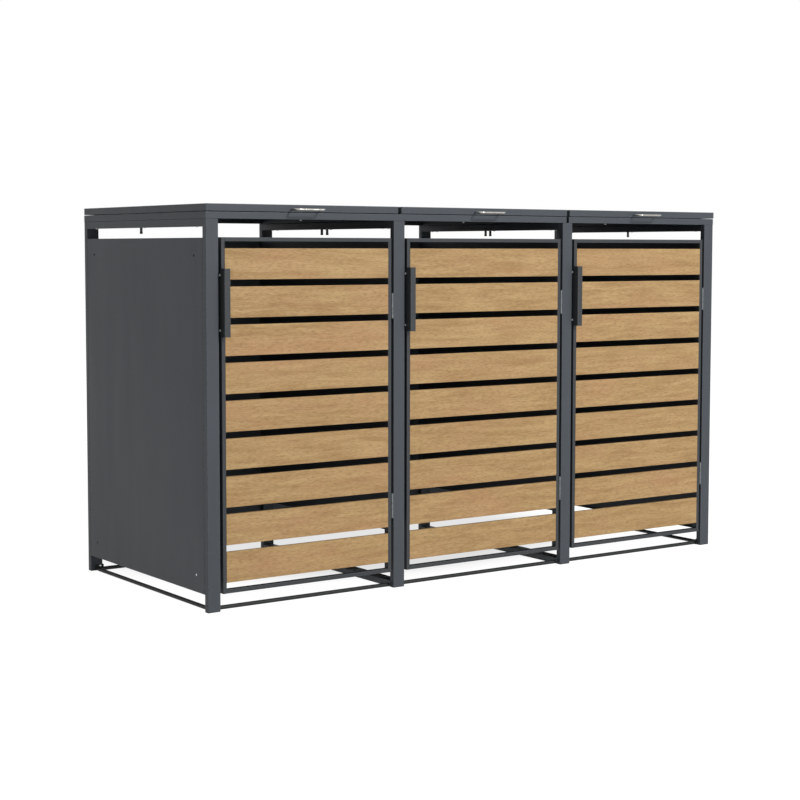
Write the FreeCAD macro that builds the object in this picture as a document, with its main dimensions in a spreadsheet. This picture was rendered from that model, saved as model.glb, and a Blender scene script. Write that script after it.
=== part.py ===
"""Wheelie bin store with three bays: a steel tube frame, three slatted doors and three lids.

Millimetres, +Z up. The origin is on the ground under the middle of the overall box. The doors face
-Y and hang on their right-hand side, and the lids hang on the rear rail.
"""
import FreeCAD, Part
import Sketcher
import os
import re
from collections import namedtuple

# Every size that can be set by itself, in millimetres.
SIZES = {
    "store_width": 1976,  # over the outer faces of the end posts
    "store_depth": 792,  # over the front and rear faces of the posts
    "store_height": 1151,  # ground to the tops of the lids
    "post_face": 40,  # width of a post, seen from the front
    "post_depth": 20,
    "tube_wall": 1.5,
    "top_rail_height": 20,
    "rail_joint_gap": 10,  # between the long and the short front rail
    "cross_rail_height": 22,
    "side_rail_width": 20,
    "side_slot_height": 31,  # open slot between a cross rail and the sheet under it
    "sheet_metal": 1.2,
    "sheet_fold": 12,  # returned edge of the side and partition sheets
    "rear_sheet_fold": 4,
    "sheet_floor_gap": 49.5,
    "partition_floor_gap": 172,
    "sheet_hole_radius": 3.5,
    "sheet_hole_inset": 50,  # from the sheet's edges to the hole centres
    "floor_rail_height": 20,
    "floor_bar_radius": 6,
    "floor_bar_bend": 12,  # radius of the bars' middle line at the corners
    "floor_bar_inset": 14,  # outer side of the side bars, in from the posts' outer faces
    "foot_tab_width": 29,
    "foot_tab_height": 20,
    "foot_tab_metal": 2,
    "foot_screw_inset": 12,  # from the tab's inner edge
    "foot_screw_level": 14.5,
    "tie_behind_middle": 19,  # the hanging studs stand this far behind mid-depth
    "tie_radius": 3.75,
    "tie_drop": 16.5,  # below the cross rail
    "tie_head_radius": 6.5,
    "tie_head_height": 5,
    "tie_cap_radius": 4.6,
    "tie_cap_height": 5,
    "tie_cap_floor": 1.5,
    "rail_screw_inset": 51,  # from the posts' inner faces
    "rail_screw_before_middle": 3,
    "rail_bolt_behind_middle": 129,
    "rail_bolt_head_radius": 5,
    "rail_bolt_head_height": 5,
    "rail_bolt_radius": 3,
    "screw_head_radius": 3.5,
    "screw_head_height": 1.6,
    "screw_radius": 2,
    "screw_end": 3,  # beyond the last wall that a screw passes
    "hole_clearance": 0.1,  # round each screw, bolt and stud
    "lid_gap": 12,  # between neighbouring lids
    "lid_rim": 20.5,
    "lid_rest_gap": 1.5,  # between the lids and the top rails
    "lid_overhang": 3,  # the lid's front stands proud of the posts
    "lid_flange": 20,  # returned edge under the rim
    "lid_corner_radius": 1.5,
    "lid_rib_width": 25,
    "lid_rib_height": 15,
    "buffer_radius": 6,
    "buffer_inset": 60,
    "buffer_relief": 0.1,
    "lid_handle_centres": 96,
    "lid_handle_reach": 36,
    "lid_handle_rod_radius": 3,
    "lid_handle_bend": 10,
    "lid_handle_level": 6.5,  # above the lid's lower edge
    "door_side_gap": 8.7,
    "door_floor_gap": 49.5,
    "door_top_gap": 51.5,
    "door_tube_face": 11.6,
    "door_tube_depth": 20,
    "slat_height": 88,
    "slat_thickness": 12,
    "door_handle_length": 192,
    "door_handle_drop": 87.5,  # below the top of the door
    "door_handle_metal": 2,
    "door_handle_reach": 22,  # in front of the door
    "door_handle_flange": 18.5,
    "door_handle_grip": 16,  # of the side flange, beside the stile
    "door_handle_screw_inset": 18.6,
    "door_handle_screw_back": 6,
    "hinge_height": 75,
    "hinge_knuckle_radius": 3.75,
    "hinge_pin_radius": 2,
    "hinge_pin_clearance": 0.05,
    "hinge_pin_head": 1.2,
    "hinge_leaf_metal": 2,
    "door_leaf_depth": 16,  # from the pin, beside the stile and the post
    "hinge_stand_off": 0.75,  # between a lid hinge's knuckles and the rear rail
    "hinge_knuckle_gap": 0.4,
    "door_pin_set_back": 1.5,  # of the pin, behind the front of the door
    "door_hinge_inset": 202,  # hinge middle, from the door's top and bottom
    "lid_leaf_depth": 18,
    "lid_hinge_inset": 120,  # hinge middle, from the lid's side edges
}
SLATS = 9
KNUCKLES = 5

# Places and sizes that follow from the ones above.
LAYOUT = {
    "half_width": "store_width / 2",
    "lid_width": "(store_width - 2 * lid_gap) / 3",
    "lid_depth": "store_depth + lid_overhang",
    "lid_bottom": "store_height - lid_rim",
    "partition_x": "(lid_width + lid_gap) / 2",
    "post_height": "lid_bottom - lid_rest_gap - top_rail_height",
    "front_reach": "max(lid_overhang + lid_handle_reach; door_handle_reach)",
    "knuckle_middle": "hinge_stand_off + hinge_knuckle_radius",
    "rear_reach": "knuckle_middle + hinge_knuckle_radius",
    "front_y": "front_reach - (store_depth + front_reach + rear_reach) / 2",
    "rear_y": "front_y + store_depth",
    "middle_y": "front_y + store_depth / 2",
    "posts_apart": "store_depth - 2 * post_depth",
    "cross_rail_level": "post_height - cross_rail_height",
    "sheet_top": "cross_rail_level - side_slot_height",
    "door_top": "post_height - door_top_gap",
    "door_height": "door_top - door_floor_gap",
    "slat_gap": f"(door_height - 2 * door_tube_face - {SLATS} * slat_height) / ({SLATS} + 1)",
    "tie_foot": "cross_rail_level - tie_drop",
}

Bay = namedtuple("Bay", "name left right")
BAYS = [
    Bay("left", "-half_width + post_face", "-partition_x - post_face / 2"),
    Bay("middle", "-partition_x + post_face / 2", "partition_x - post_face / 2"),
    Bay("right", "partition_x + post_face / 2", "half_width - post_face"),
]
POST_LEFTS = [
    "-half_width",
    "-partition_x - post_face / 2",
    "partition_x - post_face / 2",
    "half_width - post_face",
]
PARTITIONS = {"left": "-partition_x", "right": "partition_x"}

# A section is drawn flat and then turned, so that its length runs along the named axis. The
# letters are the axes that its width, height and length then lie along.
DIAGONAL = FreeCAD.Vector(1, 1, 1)
RUNS = {
    "Z": (FreeCAD.Rotation(), "XYZ"),
    "X": (FreeCAD.Rotation(DIAGONAL, 120), "YZX"),
    "Y": (FreeCAD.Rotation(DIAGONAL, 240), "ZXY"),
}
LEVEL_SLACK = 0.01  # an edge this little below a level still counts as lying on it
UP = FreeCAD.Vector(0, 0, 1)
DOWN = FreeCAD.Vector(0, 0, -1)
LEFTWARD = FreeCAD.Vector(-1, 0, 0)
RIGHTWARD = FreeCAD.Vector(1, 0, 0)
FORWARD = FreeCAD.Vector(0, -1, 0)
BACKWARD = FreeCAD.Vector(0, 1, 0)

doc = FreeCAD.newDocument("WheelieBinStore")
home_sheet = {}
nodes = []


def spell(formula):
    """The formula with each alias led by the name of its sheet."""
    return re.sub(
        r"[a-z]\w*",
        lambda word: f"{home_sheet[word[0]]}.{word[0]}" if word[0] in home_sheet else word[0],
        str(formula),
    )


def fill_sheet(name, rows, as_formulas):
    """A spreadsheet with one alias per row."""
    sheet = doc.addObject("Spreadsheet::Sheet", name)
    for row, (alias, content) in enumerate(rows.items(), start=1):
        sheet.set(f"A{row}", alias)
        sheet.set(f"B{row}", "=" + spell(content) if as_formulas else str(content))
        sheet.setAlias(f"B{row}", alias)
        home_sheet[alias] = name
        if as_formulas:
            doc.recompute()
    doc.recompute()
    return sheet


sizes = fill_sheet("Sizes", SIZES, as_formulas=False)
layout = fill_sheet("Layout", LAYOUT, as_formulas=True)


def value(formula):
    """The number that a formula comes to now."""
    result = sizes.evalExpression(spell(formula))
    return float(getattr(result, "Value", result))


def plus(*terms):
    """The sum of several formulas."""
    return " + ".join(f"({term})" for term in terms)


def minus(first, *others):
    """The first formula less the others."""
    return " - ".join(f"({term})" for term in (first, *others))


def bind(target, path, formula):
    """Tie one property to the sheets."""
    target.setExpression(path, spell(formula))


def place(target, point, turn=None):
    """Put a piece at a point given as three formulas, turned if asked."""
    if turn is not None:
        target.Placement = FreeCAD.Placement(FreeCAD.Vector(), turn)
    for axis, formula in zip("xyz", point):
        bind(target, f"Placement.Base.{axis}", formula)
    return target


def keep(piece, label):
    """Name a finished sub-part."""
    piece.Label = label
    nodes.append(piece)
    return piece


def group(label, members):
    """Separate solids of one kind that share a node."""
    bunch = doc.addObject("Part::Compound", label)
    bunch.Links = members
    return bunch


def cut(label, base, tool):
    """The base with the tool's solids taken out."""
    piece = doc.addObject("Part::Cut", label)
    piece.Base = base
    piece.Tool = tool
    return piece


def fuse(label, members):
    """Several overlapping solids joined into one."""
    piece = doc.addObject("Part::MultiFuse", label)
    piece.Shapes = members
    return piece


def block(label, corner, size):
    """A rectangular block."""
    piece = doc.addObject("Part::Box", label)
    for path, formula in zip(("Length", "Width", "Height"), size):
        bind(piece, path, formula)
    return place(piece, corner)


def rod(label, start, direction, radius, length):
    """A round bar from a point, along a direction."""
    piece = doc.addObject("Part::Cylinder", label)
    bind(piece, "Radius", radius)
    bind(piece, "Height", length)
    return place(piece, start, FreeCAD.Rotation(UP, direction))


def rod_bend(label, centre, bend_radius, rod_radius, start_angle):
    """A quarter bend of a round bar that lies flat, from an angle in degrees round +Z."""
    piece = doc.addObject("Part::Torus", label)
    bind(piece, "Radius1", bend_radius)
    bind(piece, "Radius2", rod_radius)
    piece.Angle3 = 90
    return place(piece, centre, FreeCAD.Rotation(UP, start_angle))


def new_sketch(body, name, plane_role="XY_Plane"):
    """An empty sketch on one of the body's own origin planes."""
    sketch = body.newObject("Sketcher::SketchObject", name)
    plane = next(item for item in body.Origin.OriginFeatures if item.Role == plane_role)
    sketch.AttachmentSupport = (plane, [""])
    sketch.MapMode = "FlatFace"
    return sketch


def hold(sketch, edge, point, across, up):
    """Pin one point of a sketch at its distances from the sketch's origin."""
    for kind, axis_edge, formula in (("DistanceX", -2, across), ("DistanceY", -1, up)):
        if formula == "0":
            sketch.addConstraint(Sketcher.Constraint("PointOnObject", edge, point, axis_edge))
        else:
            rule = Sketcher.Constraint(kind, -1, 1, edge, point, value(formula))
            bind(sketch, f"Constraints[{sketch.addConstraint(rule)}]", formula)


def outline(sketch, points):
    """A closed run of straight edges through points that are pairs of formulas."""
    first = sketch.GeometryCount
    places = [FreeCAD.Vector(value(across), value(up), 0) for across, up in points]
    for index, start in enumerate(places):
        sketch.addGeometry(Part.LineSegment(start, places[(index + 1) % len(places)]))
    for index, (across, up) in enumerate(points):
        following = first + (index + 1) % len(points)
        sketch.addConstraint(Sketcher.Constraint("Coincident", first + index, 2, following, 1))
        hold(sketch, first + index, 1, across, up)


def rectangle(left, bottom, right, top):
    """The corners of an upright rectangle."""
    return [(left, bottom), (right, bottom), (right, top), (left, top)]


def circle(sketch, across, up, radius):
    """A round hole in a section."""
    centre = FreeCAD.Vector(value(across), value(up), 0)
    edge = sketch.addGeometry(Part.Circle(centre, UP, value(radius)))
    hold(sketch, edge, 3, across, up)
    rule = Sketcher.Constraint("Radius", edge, value(radius))
    bind(sketch, f"Constraints[{sketch.addConstraint(rule)}]", radius)


def pad(body, sketch, name, length):
    """Raise a sketch by a length."""
    feature = body.newObject("PartDesign::Pad", name)
    feature.Profile = sketch
    bind(feature, "Length", length)
    return feature


def tube(label, run, corner, size, closed=()):
    """A rectangular tube along one axis; closed names the ends that have a welded plate."""
    turn, axes = RUNS[run]
    across, up, length = (size["XYZ".index(axis)] for axis in axes)
    body = doc.addObject("PartDesign::Body", label)
    section = new_sketch(body, f"{label}_section")
    outline(section, rectangle("0", "0", across, up))
    inner = rectangle("tube_wall", "tube_wall", minus(across, "tube_wall"), minus(up, "tube_wall"))
    outline(section, inner)
    pad(body, section, f"{label}_length", length)
    for end in closed:
        plate = new_sketch(body, f"{label}_{end}_plate")
        outline(plate, rectangle("0", "0", across, up))
        if end == "far":
            bind(plate, "AttachmentOffset.Base.z", minus(length, "tube_wall"))
        pad(body, plate, f"{label}_{end}_end", "tube_wall")
    return place(body, corner, turn)


def turned(label, points, start, direction):
    """A turned piece: points are pairs of radius and height above the start."""
    body = doc.addObject("PartDesign::Body", label)
    sketch = new_sketch(body, f"{label}_profile", "XZ_Plane")
    outline(sketch, points)
    feature = body.newObject("PartDesign::Revolution", f"{label}_turning")
    feature.Profile = sketch
    feature.ReferenceAxis = (sketch, ["V_Axis"])
    feature.Angle = 360
    return place(body, start, FreeCAD.Rotation(UP, direction))


def screw(label, seat, direction, shank_length, radius="screw_radius",
          head_radius="screw_head_radius", head_height="screw_head_height"):
    """A pan-head screw whose head stands on the seat and points along the direction."""
    crown = f"({head_radius}) * 0.7"
    points = [
        ("0", f"-({shank_length})"),
        (radius, f"-({shank_length})"),
        (radius, "0"),
        (head_radius, "0"),
        (head_radius, f"({head_height}) * 0.5"),
        (crown, head_height),
        ("0", head_height),
    ]
    return turned(label, points, seat, direction)


def screw_hole(label, seat, direction, depth, radius="screw_radius"):
    """The clearance hole of a screw, from its seat into the work."""
    return rod(label, seat, direction * -1, plus(radius, "hole_clearance"), depth)


def folded_sheet(label, run, corner, size, hole_insets=False, open_far=True):
    """A sheet with four returned edges; its face is square to the run."""
    turn, axes = RUNS[run]
    across, up, depth = (size["XYZ".index(axis)] for axis in axes)
    body = doc.addObject("PartDesign::Body", label)
    face = new_sketch(body, f"{label}_face")
    outline(face, rectangle("0", "0", across, up))
    if hole_insets:
        for hole_across in ("sheet_hole_inset", minus(across, "sheet_hole_inset")):
            for hole_up in ("sheet_hole_inset", minus(up, "sheet_hole_inset")):
                circle(face, hole_across, hole_up, "sheet_hole_radius")
    if not open_far:
        bind(face, "AttachmentOffset.Base.z", minus(depth, "sheet_metal"))
    pad(body, face, f"{label}_sheet", "sheet_metal")
    edge = new_sketch(body, f"{label}_edge")
    outline(edge, rectangle("0", "0", across, up))
    inner_right = minus(across, "sheet_metal")
    inner_top = minus(up, "sheet_metal")
    outline(edge, rectangle("sheet_metal", "sheet_metal", inner_right, inner_top))
    pad(body, edge, f"{label}_returns", depth)
    return place(body, corner, turn)


def make_posts():
    """Four front posts and four rear posts, from left to right, and their screw holes."""
    size = ("post_face", "post_depth", "post_height")
    for row, near_y in (("front", "front_y"), ("rear", "rear_y - post_depth")):
        for number, left in enumerate(POST_LEFTS, start=1):
            label = f"{row}_post_{number}"
            if number in (1, len(POST_LEFTS)):
                blank = tube(f"{label}_blank", "Z", (left, near_y, "0"), size)
                keep(cut(label, blank, foot_screw_holes), label)
            else:
                keep(tube(label, "Z", (left, near_y, "0"), size), label)


def make_top_frame():
    """The front and rear top rails and the rails that join them, on top of the posts."""
    joint_left = "partition_x - rail_joint_gap / 2"
    joint_right = "partition_x + rail_joint_gap / 2"
    for row, near_y in (("front", "front_y"), ("rear", "rear_y - post_depth")):
        long_size = (plus(joint_left, "half_width"), "post_depth", "top_rail_height")
        short_size = (minus("half_width", joint_right), "post_depth", "top_rail_height")
        long_rail = tube(f"{row}_top_rail_long", "X", ("-half_width", near_y, "post_height"),
                         long_size, closed=("near",))
        short_rail = tube(f"{row}_top_rail_short", "X", (joint_right, near_y, "post_height"),
                          short_size, closed=("far",))
        keep(long_rail, f"{row}_top_rail_long")
        keep(short_rail, f"{row}_top_rail_short")

    start_y = "front_y + post_depth"
    side_size = ("side_rail_width", "posts_apart", "top_rail_height")
    side_rails = [
        tube(f"side_top_rail_{name}", "Y", (left, start_y, "post_height"), side_size)
        for name, left in (("left", "-half_width"), ("right", "half_width - side_rail_width"))
    ]
    side_group = group("side_top_rails_blank", side_rails)
    keep(cut("side_top_rails", side_group, rail_holes), "side_top_rails")
    partition_size = ("post_face", "posts_apart", "top_rail_height")
    partition_rails = [
        tube(f"partition_top_rail_{name}", "Y",
             (f"{middle} - post_face / 2", start_y, "post_height"), partition_size)
        for name, middle in PARTITIONS.items()
    ]
    partition_group = group("partition_top_rails_blank", partition_rails)
    keep(cut("partition_top_rails", partition_group, rail_holes), "partition_top_rails")


def make_cross_rails():
    """The rails under the top frame: one on each side and a pair on each partition."""
    start_y = "front_y + post_depth"
    side_size = ("side_rail_width", "posts_apart", "cross_rail_height")
    side_rails = [
        tube(f"side_cross_rail_{name}", "Y", (left, start_y, "cross_rail_level"), side_size)
        for name, left in (("left", "-half_width"), ("right", "half_width - side_rail_width"))
    ]
    side_group = group("side_cross_rails_blank", side_rails)
    keep(cut("side_cross_rails", side_group, rail_holes), "side_cross_rails")
    half_size = ("post_face / 2", "posts_apart", "cross_rail_height")
    pairs = []
    for name, middle in PARTITIONS.items():
        for half, left in (("near", f"{middle} - post_face / 2"), ("far", middle)):
            corner = (left, start_y, "cross_rail_level")
            pairs.append(tube(f"partition_cross_rail_{name}_{half}", "Y", corner, half_size))
    pair_group = group("partition_cross_rails_blank", pairs)
    keep(cut("partition_cross_rails", pair_group, rail_holes), "partition_cross_rails")


def make_sheets():
    """The folded sheets: two sides with fixing holes, two partitions and three rear ones."""
    start_y = "front_y + post_depth"
    side_height = minus("sheet_top", "sheet_floor_gap")
    side_size = ("sheet_fold", "posts_apart", side_height)
    left_corner = ("-half_width", start_y, "sheet_floor_gap")
    keep(folded_sheet("side_sheet_left", "X", left_corner, side_size, hole_insets=True),
         "side_sheet_left")
    right_corner = ("half_width - sheet_fold", start_y, "sheet_floor_gap")
    keep(folded_sheet("side_sheet_right", "X", right_corner, side_size, hole_insets=True,
                      open_far=False), "side_sheet_right")
    partition_height = minus("sheet_top", "partition_floor_gap")
    for name, middle in PARTITIONS.items():
        corner = (f"{middle} - post_face / 2", start_y, "partition_floor_gap")
        size = ("sheet_fold", "posts_apart", partition_height)
        label = f"partition_sheet_{name}"
        keep(folded_sheet(label, "X", corner, size), label)
    for bay in BAYS:
        corner = (bay.left, "rear_y - rear_sheet_fold", "sheet_floor_gap")
        size = (minus(bay.right, bay.left), "rear_sheet_fold", side_height)
        label = f"rear_sheet_{bay.name}"
        keep(folded_sheet(label, "Y", corner, size), label)


def floor_tab_places():
    """Each foot tab as its name, corner, size, screw seat and the way its screw points."""
    left_edge = "-half_width + floor_bar_inset"
    right_edge = "half_width - floor_bar_inset"
    screw_from_edge = "foot_tab_width - foot_screw_inset"
    sides = {
        "left": (left_edge, plus(left_edge, screw_from_edge)),
        "right": (minus(right_edge, "foot_tab_width"), minus(right_edge, screw_from_edge)),
    }
    front = "front_y + post_depth"
    rear = "rear_y - post_depth - foot_tab_metal"
    rows = {"front": (front, plus(front, "foot_tab_metal"), BACKWARD), "rear": (rear, rear, FORWARD)}
    size = ("foot_tab_width", "foot_tab_metal", "foot_tab_height")
    return [
        (f"{side}_{row}", (left, near_y, "0"), size, (screw_x, seat_y, "foot_screw_level"), way)
        for side, (left, screw_x) in sides.items()
        for row, (near_y, seat_y, way) in rows.items()
    ]


def floor_rod(label, x, y, direction, length):
    """A round bar that lies on the ground."""
    return rod(label, (x, y, "floor_bar_radius"), direction, "floor_bar_radius", length)


def make_floor():
    """Partition rails, round bars and upright tabs that lie on the ground and tie the posts."""
    start_y = "front_y + post_depth"
    rails = [
        tube(f"partition_floor_rail_{name}", "Y", (f"{middle} - post_face / 2", start_y, "0"),
             ("post_face", "posts_apart", "floor_rail_height"))
        for name, middle in PARTITIONS.items()
    ]
    keep(group("partition_floor_rails", rails), "partition_floor_rails")

    # A bar runs round each side and butts on the partition rail, in front and behind.
    off_posts = "foot_tab_metal + floor_bar_radius"
    row_ys = {"front": plus(start_y, off_posts), "rear": minus("rear_y - post_depth", off_posts)}
    bend_ys = {"front": plus(row_ys["front"], "floor_bar_bend"),
               "rear": minus(row_ys["rear"], "floor_bar_bend")}
    side_x = "half_width - floor_bar_inset - floor_bar_radius"
    bend_x = minus(side_x, "floor_bar_bend")
    partition_side = "partition_x + post_face / 2"
    sides = {
        "left": (f"-({side_x})", f"-({bend_x})", f"-({bend_x})", {"front": 180, "rear": 90}),
        "right": (side_x, bend_x, partition_side, {"front": 270, "rear": 0}),
    }
    bars = []
    for side, (x, corner_x, start_x, start_angles) in sides.items():
        label = f"floor_bar_{side}"
        members = [floor_rod(label, x, bend_ys["front"], BACKWARD,
                             minus(bend_ys["rear"], bend_ys["front"]))]
        for row, y in row_ys.items():
            members.append(floor_rod(f"{label}_{row}", start_x, y, RIGHTWARD,
                                     minus(bend_x, partition_side)))
            members.append(rod_bend(f"{label}_{row}_bend",
                                    (corner_x, bend_ys[row], "floor_bar_radius"),
                                    "floor_bar_bend", "floor_bar_radius", start_angles[row]))
        bars.append(fuse(f"{label}_round", members))
    for row, y in row_ys.items():
        bars.append(floor_rod(f"floor_bar_middle_{row}", "-partition_x + post_face / 2", y,
                              RIGHTWARD, "2 * partition_x - post_face"))
    keep(group("floor_bars", bars), "floor_bars")

    tabs = [block(f"foot_tab_{name}", corner, size)
            for name, corner, size, _seat, _way in floor_tab_places()]
    tab_group = group("foot_tabs_blank", tabs)
    keep(cut("foot_tabs", tab_group, foot_screw_holes), "foot_tabs")


def cross_rail_middles():
    """The X of the middle of every cross rail."""
    middles = ["-half_width + side_rail_width / 2", "half_width - side_rail_width / 2"]
    for middle in PARTITIONS.values():
        middles += [f"{middle} - post_face / 4", f"{middle} + post_face / 4"]
    return middles


def rail_screw_seats():
    """Where the screws stand under the cross rails, pointing down."""
    seat_ys = [
        "front_y + post_depth + rail_screw_inset",
        "middle_y - rail_screw_before_middle",
        "rear_y - post_depth - rail_screw_inset",
    ]
    return [(x, y, "cross_rail_level") for x in cross_rail_middles() for y in seat_ys]


def rail_bolt_seats():
    """Where a bolt stands on the inner face of the top rail on the right of each bay."""
    faces = [f"{middle} - post_face / 2" for middle in PARTITIONS.values()]
    faces.append("half_width - side_rail_width")
    bolt_y = "middle_y + rail_bolt_behind_middle"
    return [(face, bolt_y, "post_height + top_rail_height / 2") for face in faces]


RAIL_SCREW_LENGTH = "cross_rail_height + tube_wall + screw_end"
TAB_SCREW_LENGTH = "foot_tab_metal + tube_wall + screw_end"
BOLT_LENGTH = "tube_wall + screw_end"


def make_foot_screw_holes():
    """Clearance holes through the foot tabs and the walls behind them."""
    return group("foot_screw_holes", [
        screw_hole(f"foot_hole_{name}", seat, way, TAB_SCREW_LENGTH)
        for name, _corner, _size, seat, way in floor_tab_places()
    ])


def make_rail_holes():
    """Clearance holes for the studs, screws and bolts of the top frame."""
    holes = []
    for number, x in enumerate(cross_rail_middles(), start=1):
        start = (x, "middle_y + tie_behind_middle", "cross_rail_level")
        depth = "cross_rail_height + tube_wall"
        holes.append(rod(f"tie_hole_{number}", start, UP, "tie_radius + hole_clearance", depth))
    for number, seat in enumerate(rail_screw_seats(), start=1):
        holes.append(screw_hole(f"rail_screw_hole_{number}", seat, DOWN, RAIL_SCREW_LENGTH))
    for number, seat in enumerate(rail_bolt_seats(), start=1):
        holes.append(screw_hole(f"rail_bolt_hole_{number}", seat, LEFTWARD, BOLT_LENGTH,
                                radius="rail_bolt_radius"))
    return group("rail_holes", holes)


def make_frame_fasteners():
    """Foot screws, cross rail screws, rail bolts, and the hanging studs with their caps."""
    screws = [
        screw(f"foot_screw_{name}", seat, way, TAB_SCREW_LENGTH)
        for name, _corner, _size, seat, way in floor_tab_places()
    ]
    for number, seat in enumerate(rail_screw_seats(), start=1):
        screws.append(screw(f"rail_screw_{number}", seat, DOWN, RAIL_SCREW_LENGTH))
    for number, seat in enumerate(rail_bolt_seats(), start=1):
        screws.append(screw(f"rail_bolt_{number}", seat, LEFTWARD, BOLT_LENGTH,
                            radius="rail_bolt_radius", head_radius="rail_bolt_head_radius",
                            head_height="rail_bolt_head_height"))
    keep(group("frame_screws", screws), "frame_screws")

    head_seat = "tie_drop + cross_rail_height + tube_wall"
    stud_points = [
        ("0", "0"),
        ("tie_radius", "0"),
        ("tie_radius", head_seat),
        ("tie_head_radius", head_seat),
        ("tie_head_radius", plus(head_seat, "tie_head_height")),
        ("0", plus(head_seat, "tie_head_height")),
    ]
    cap_points = [
        ("0", "0"),
        ("tie_cap_radius * 0.8", "0"),
        ("tie_cap_radius", "tie_cap_height * 0.25"),
        ("tie_cap_radius", "tie_cap_height"),
        ("tie_radius + hole_clearance", "tie_cap_height"),
        ("tie_radius + hole_clearance", "tie_cap_floor"),
        ("0", "tie_cap_floor"),
    ]
    studs = []
    caps = []
    for number, x in enumerate(cross_rail_middles(), start=1):
        foot = (x, "middle_y + tie_behind_middle", "tie_foot")
        studs.append(turned(f"tie_stud_{number}", stud_points, foot, UP))
        cap_foot = (foot[0], foot[1], "tie_foot - tie_cap_floor")
        caps.append(turned(f"tie_cap_{number}", cap_points, cap_foot, UP))
    keep(group("tie_studs", studs), "tie_studs")
    keep(group("tie_stud_caps", caps), "tie_stud_caps")


def hinge_leaf(label, side, knuckles, seat, reach):
    """One leaf with its knuckles, round a pin that stands on the origin along +Z.

    The leaf lies at the seat distance from the pin, on the side given as -1 or 1, and runs along
    +Y to its reach. knuckles are the places, counted from the bottom, that this leaf holds.
    """
    pitch = f"hinge_height / {KNUCKLES}"
    left = f"-({seat})" if side < 0 else minus(seat, "hinge_leaf_metal")
    clear_y = "hinge_knuckle_radius + hinge_knuckle_gap"
    plate_size = ("hinge_leaf_metal", minus(reach, clear_y), "hinge_height")
    members = [block(f"{label}_plate", (left, clear_y, "0"), plate_size)]
    for place_number in knuckles:
        level = f"{place_number} * {pitch} + hinge_knuckle_gap / 2"
        height = f"{pitch} - hinge_knuckle_gap"
        tab_size = ("hinge_leaf_metal", plus(clear_y, "hinge_leaf_metal"), height)
        members.append(block(f"{label}_strap_{place_number}", (left, "0", level), tab_size))
        members.append(rod(f"{label}_knuckle_{place_number}", ("0", "0", level), UP,
                           "hinge_knuckle_radius", height))
    bore_radius = "hinge_pin_radius + hinge_pin_clearance"
    bore = rod(f"{label}_bore", ("0", "0", "0"), UP, bore_radius, "hinge_height")
    return cut(label, fuse(f"{label}_solid", members), bore)


def copy_at(label, original, point, turn):
    """A second fitting of the same piece elsewhere."""
    link = doc.addObject("App::Link", label)
    link.LinkedObject = original
    link.LinkTransform = False
    link.Placement = FreeCAD.Placement(FreeCAD.Vector(), turn)
    for axis, formula in zip("xyz", point):
        bind(link, f"Placement.Base.{axis}", formula)
    return link


def door_edges(bay):
    """The left and right edges of the door in a bay."""
    return plus(bay.left, "door_side_gap"), minus(bay.right, "door_side_gap")


def lid_left(index):
    """The left edge of a lid, counted from 0."""
    return f"-half_width + {index} * (lid_width + lid_gap)"


PIN_POINTS = [
    ("0", "-hinge_pin_head"),
    ("hinge_knuckle_radius * 0.8", "-hinge_pin_head"),
    ("hinge_knuckle_radius", "0"),
    ("hinge_pin_radius", "0"),
    ("hinge_pin_radius", "hinge_height"),
    ("hinge_knuckle_radius", "hinge_height"),
    ("hinge_knuckle_radius * 0.8", "hinge_height + hinge_pin_head"),
    ("0", "hinge_height + hinge_pin_head"),
]
OUTER_KNUCKLES = range(0, KNUCKLES, 2)
INNER_KNUCKLES = range(1, KNUCKLES, 2)
# A lid hinge lies along X: the leaf on the lid runs up from the pin, the one on the rail down.
LID_LEAF_TURN = RUNS["X"][0]
RAIL_LEAF_TURN = FreeCAD.Rotation(FORWARD, DOWN, RIGHTWARD, "XYZ")


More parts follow.
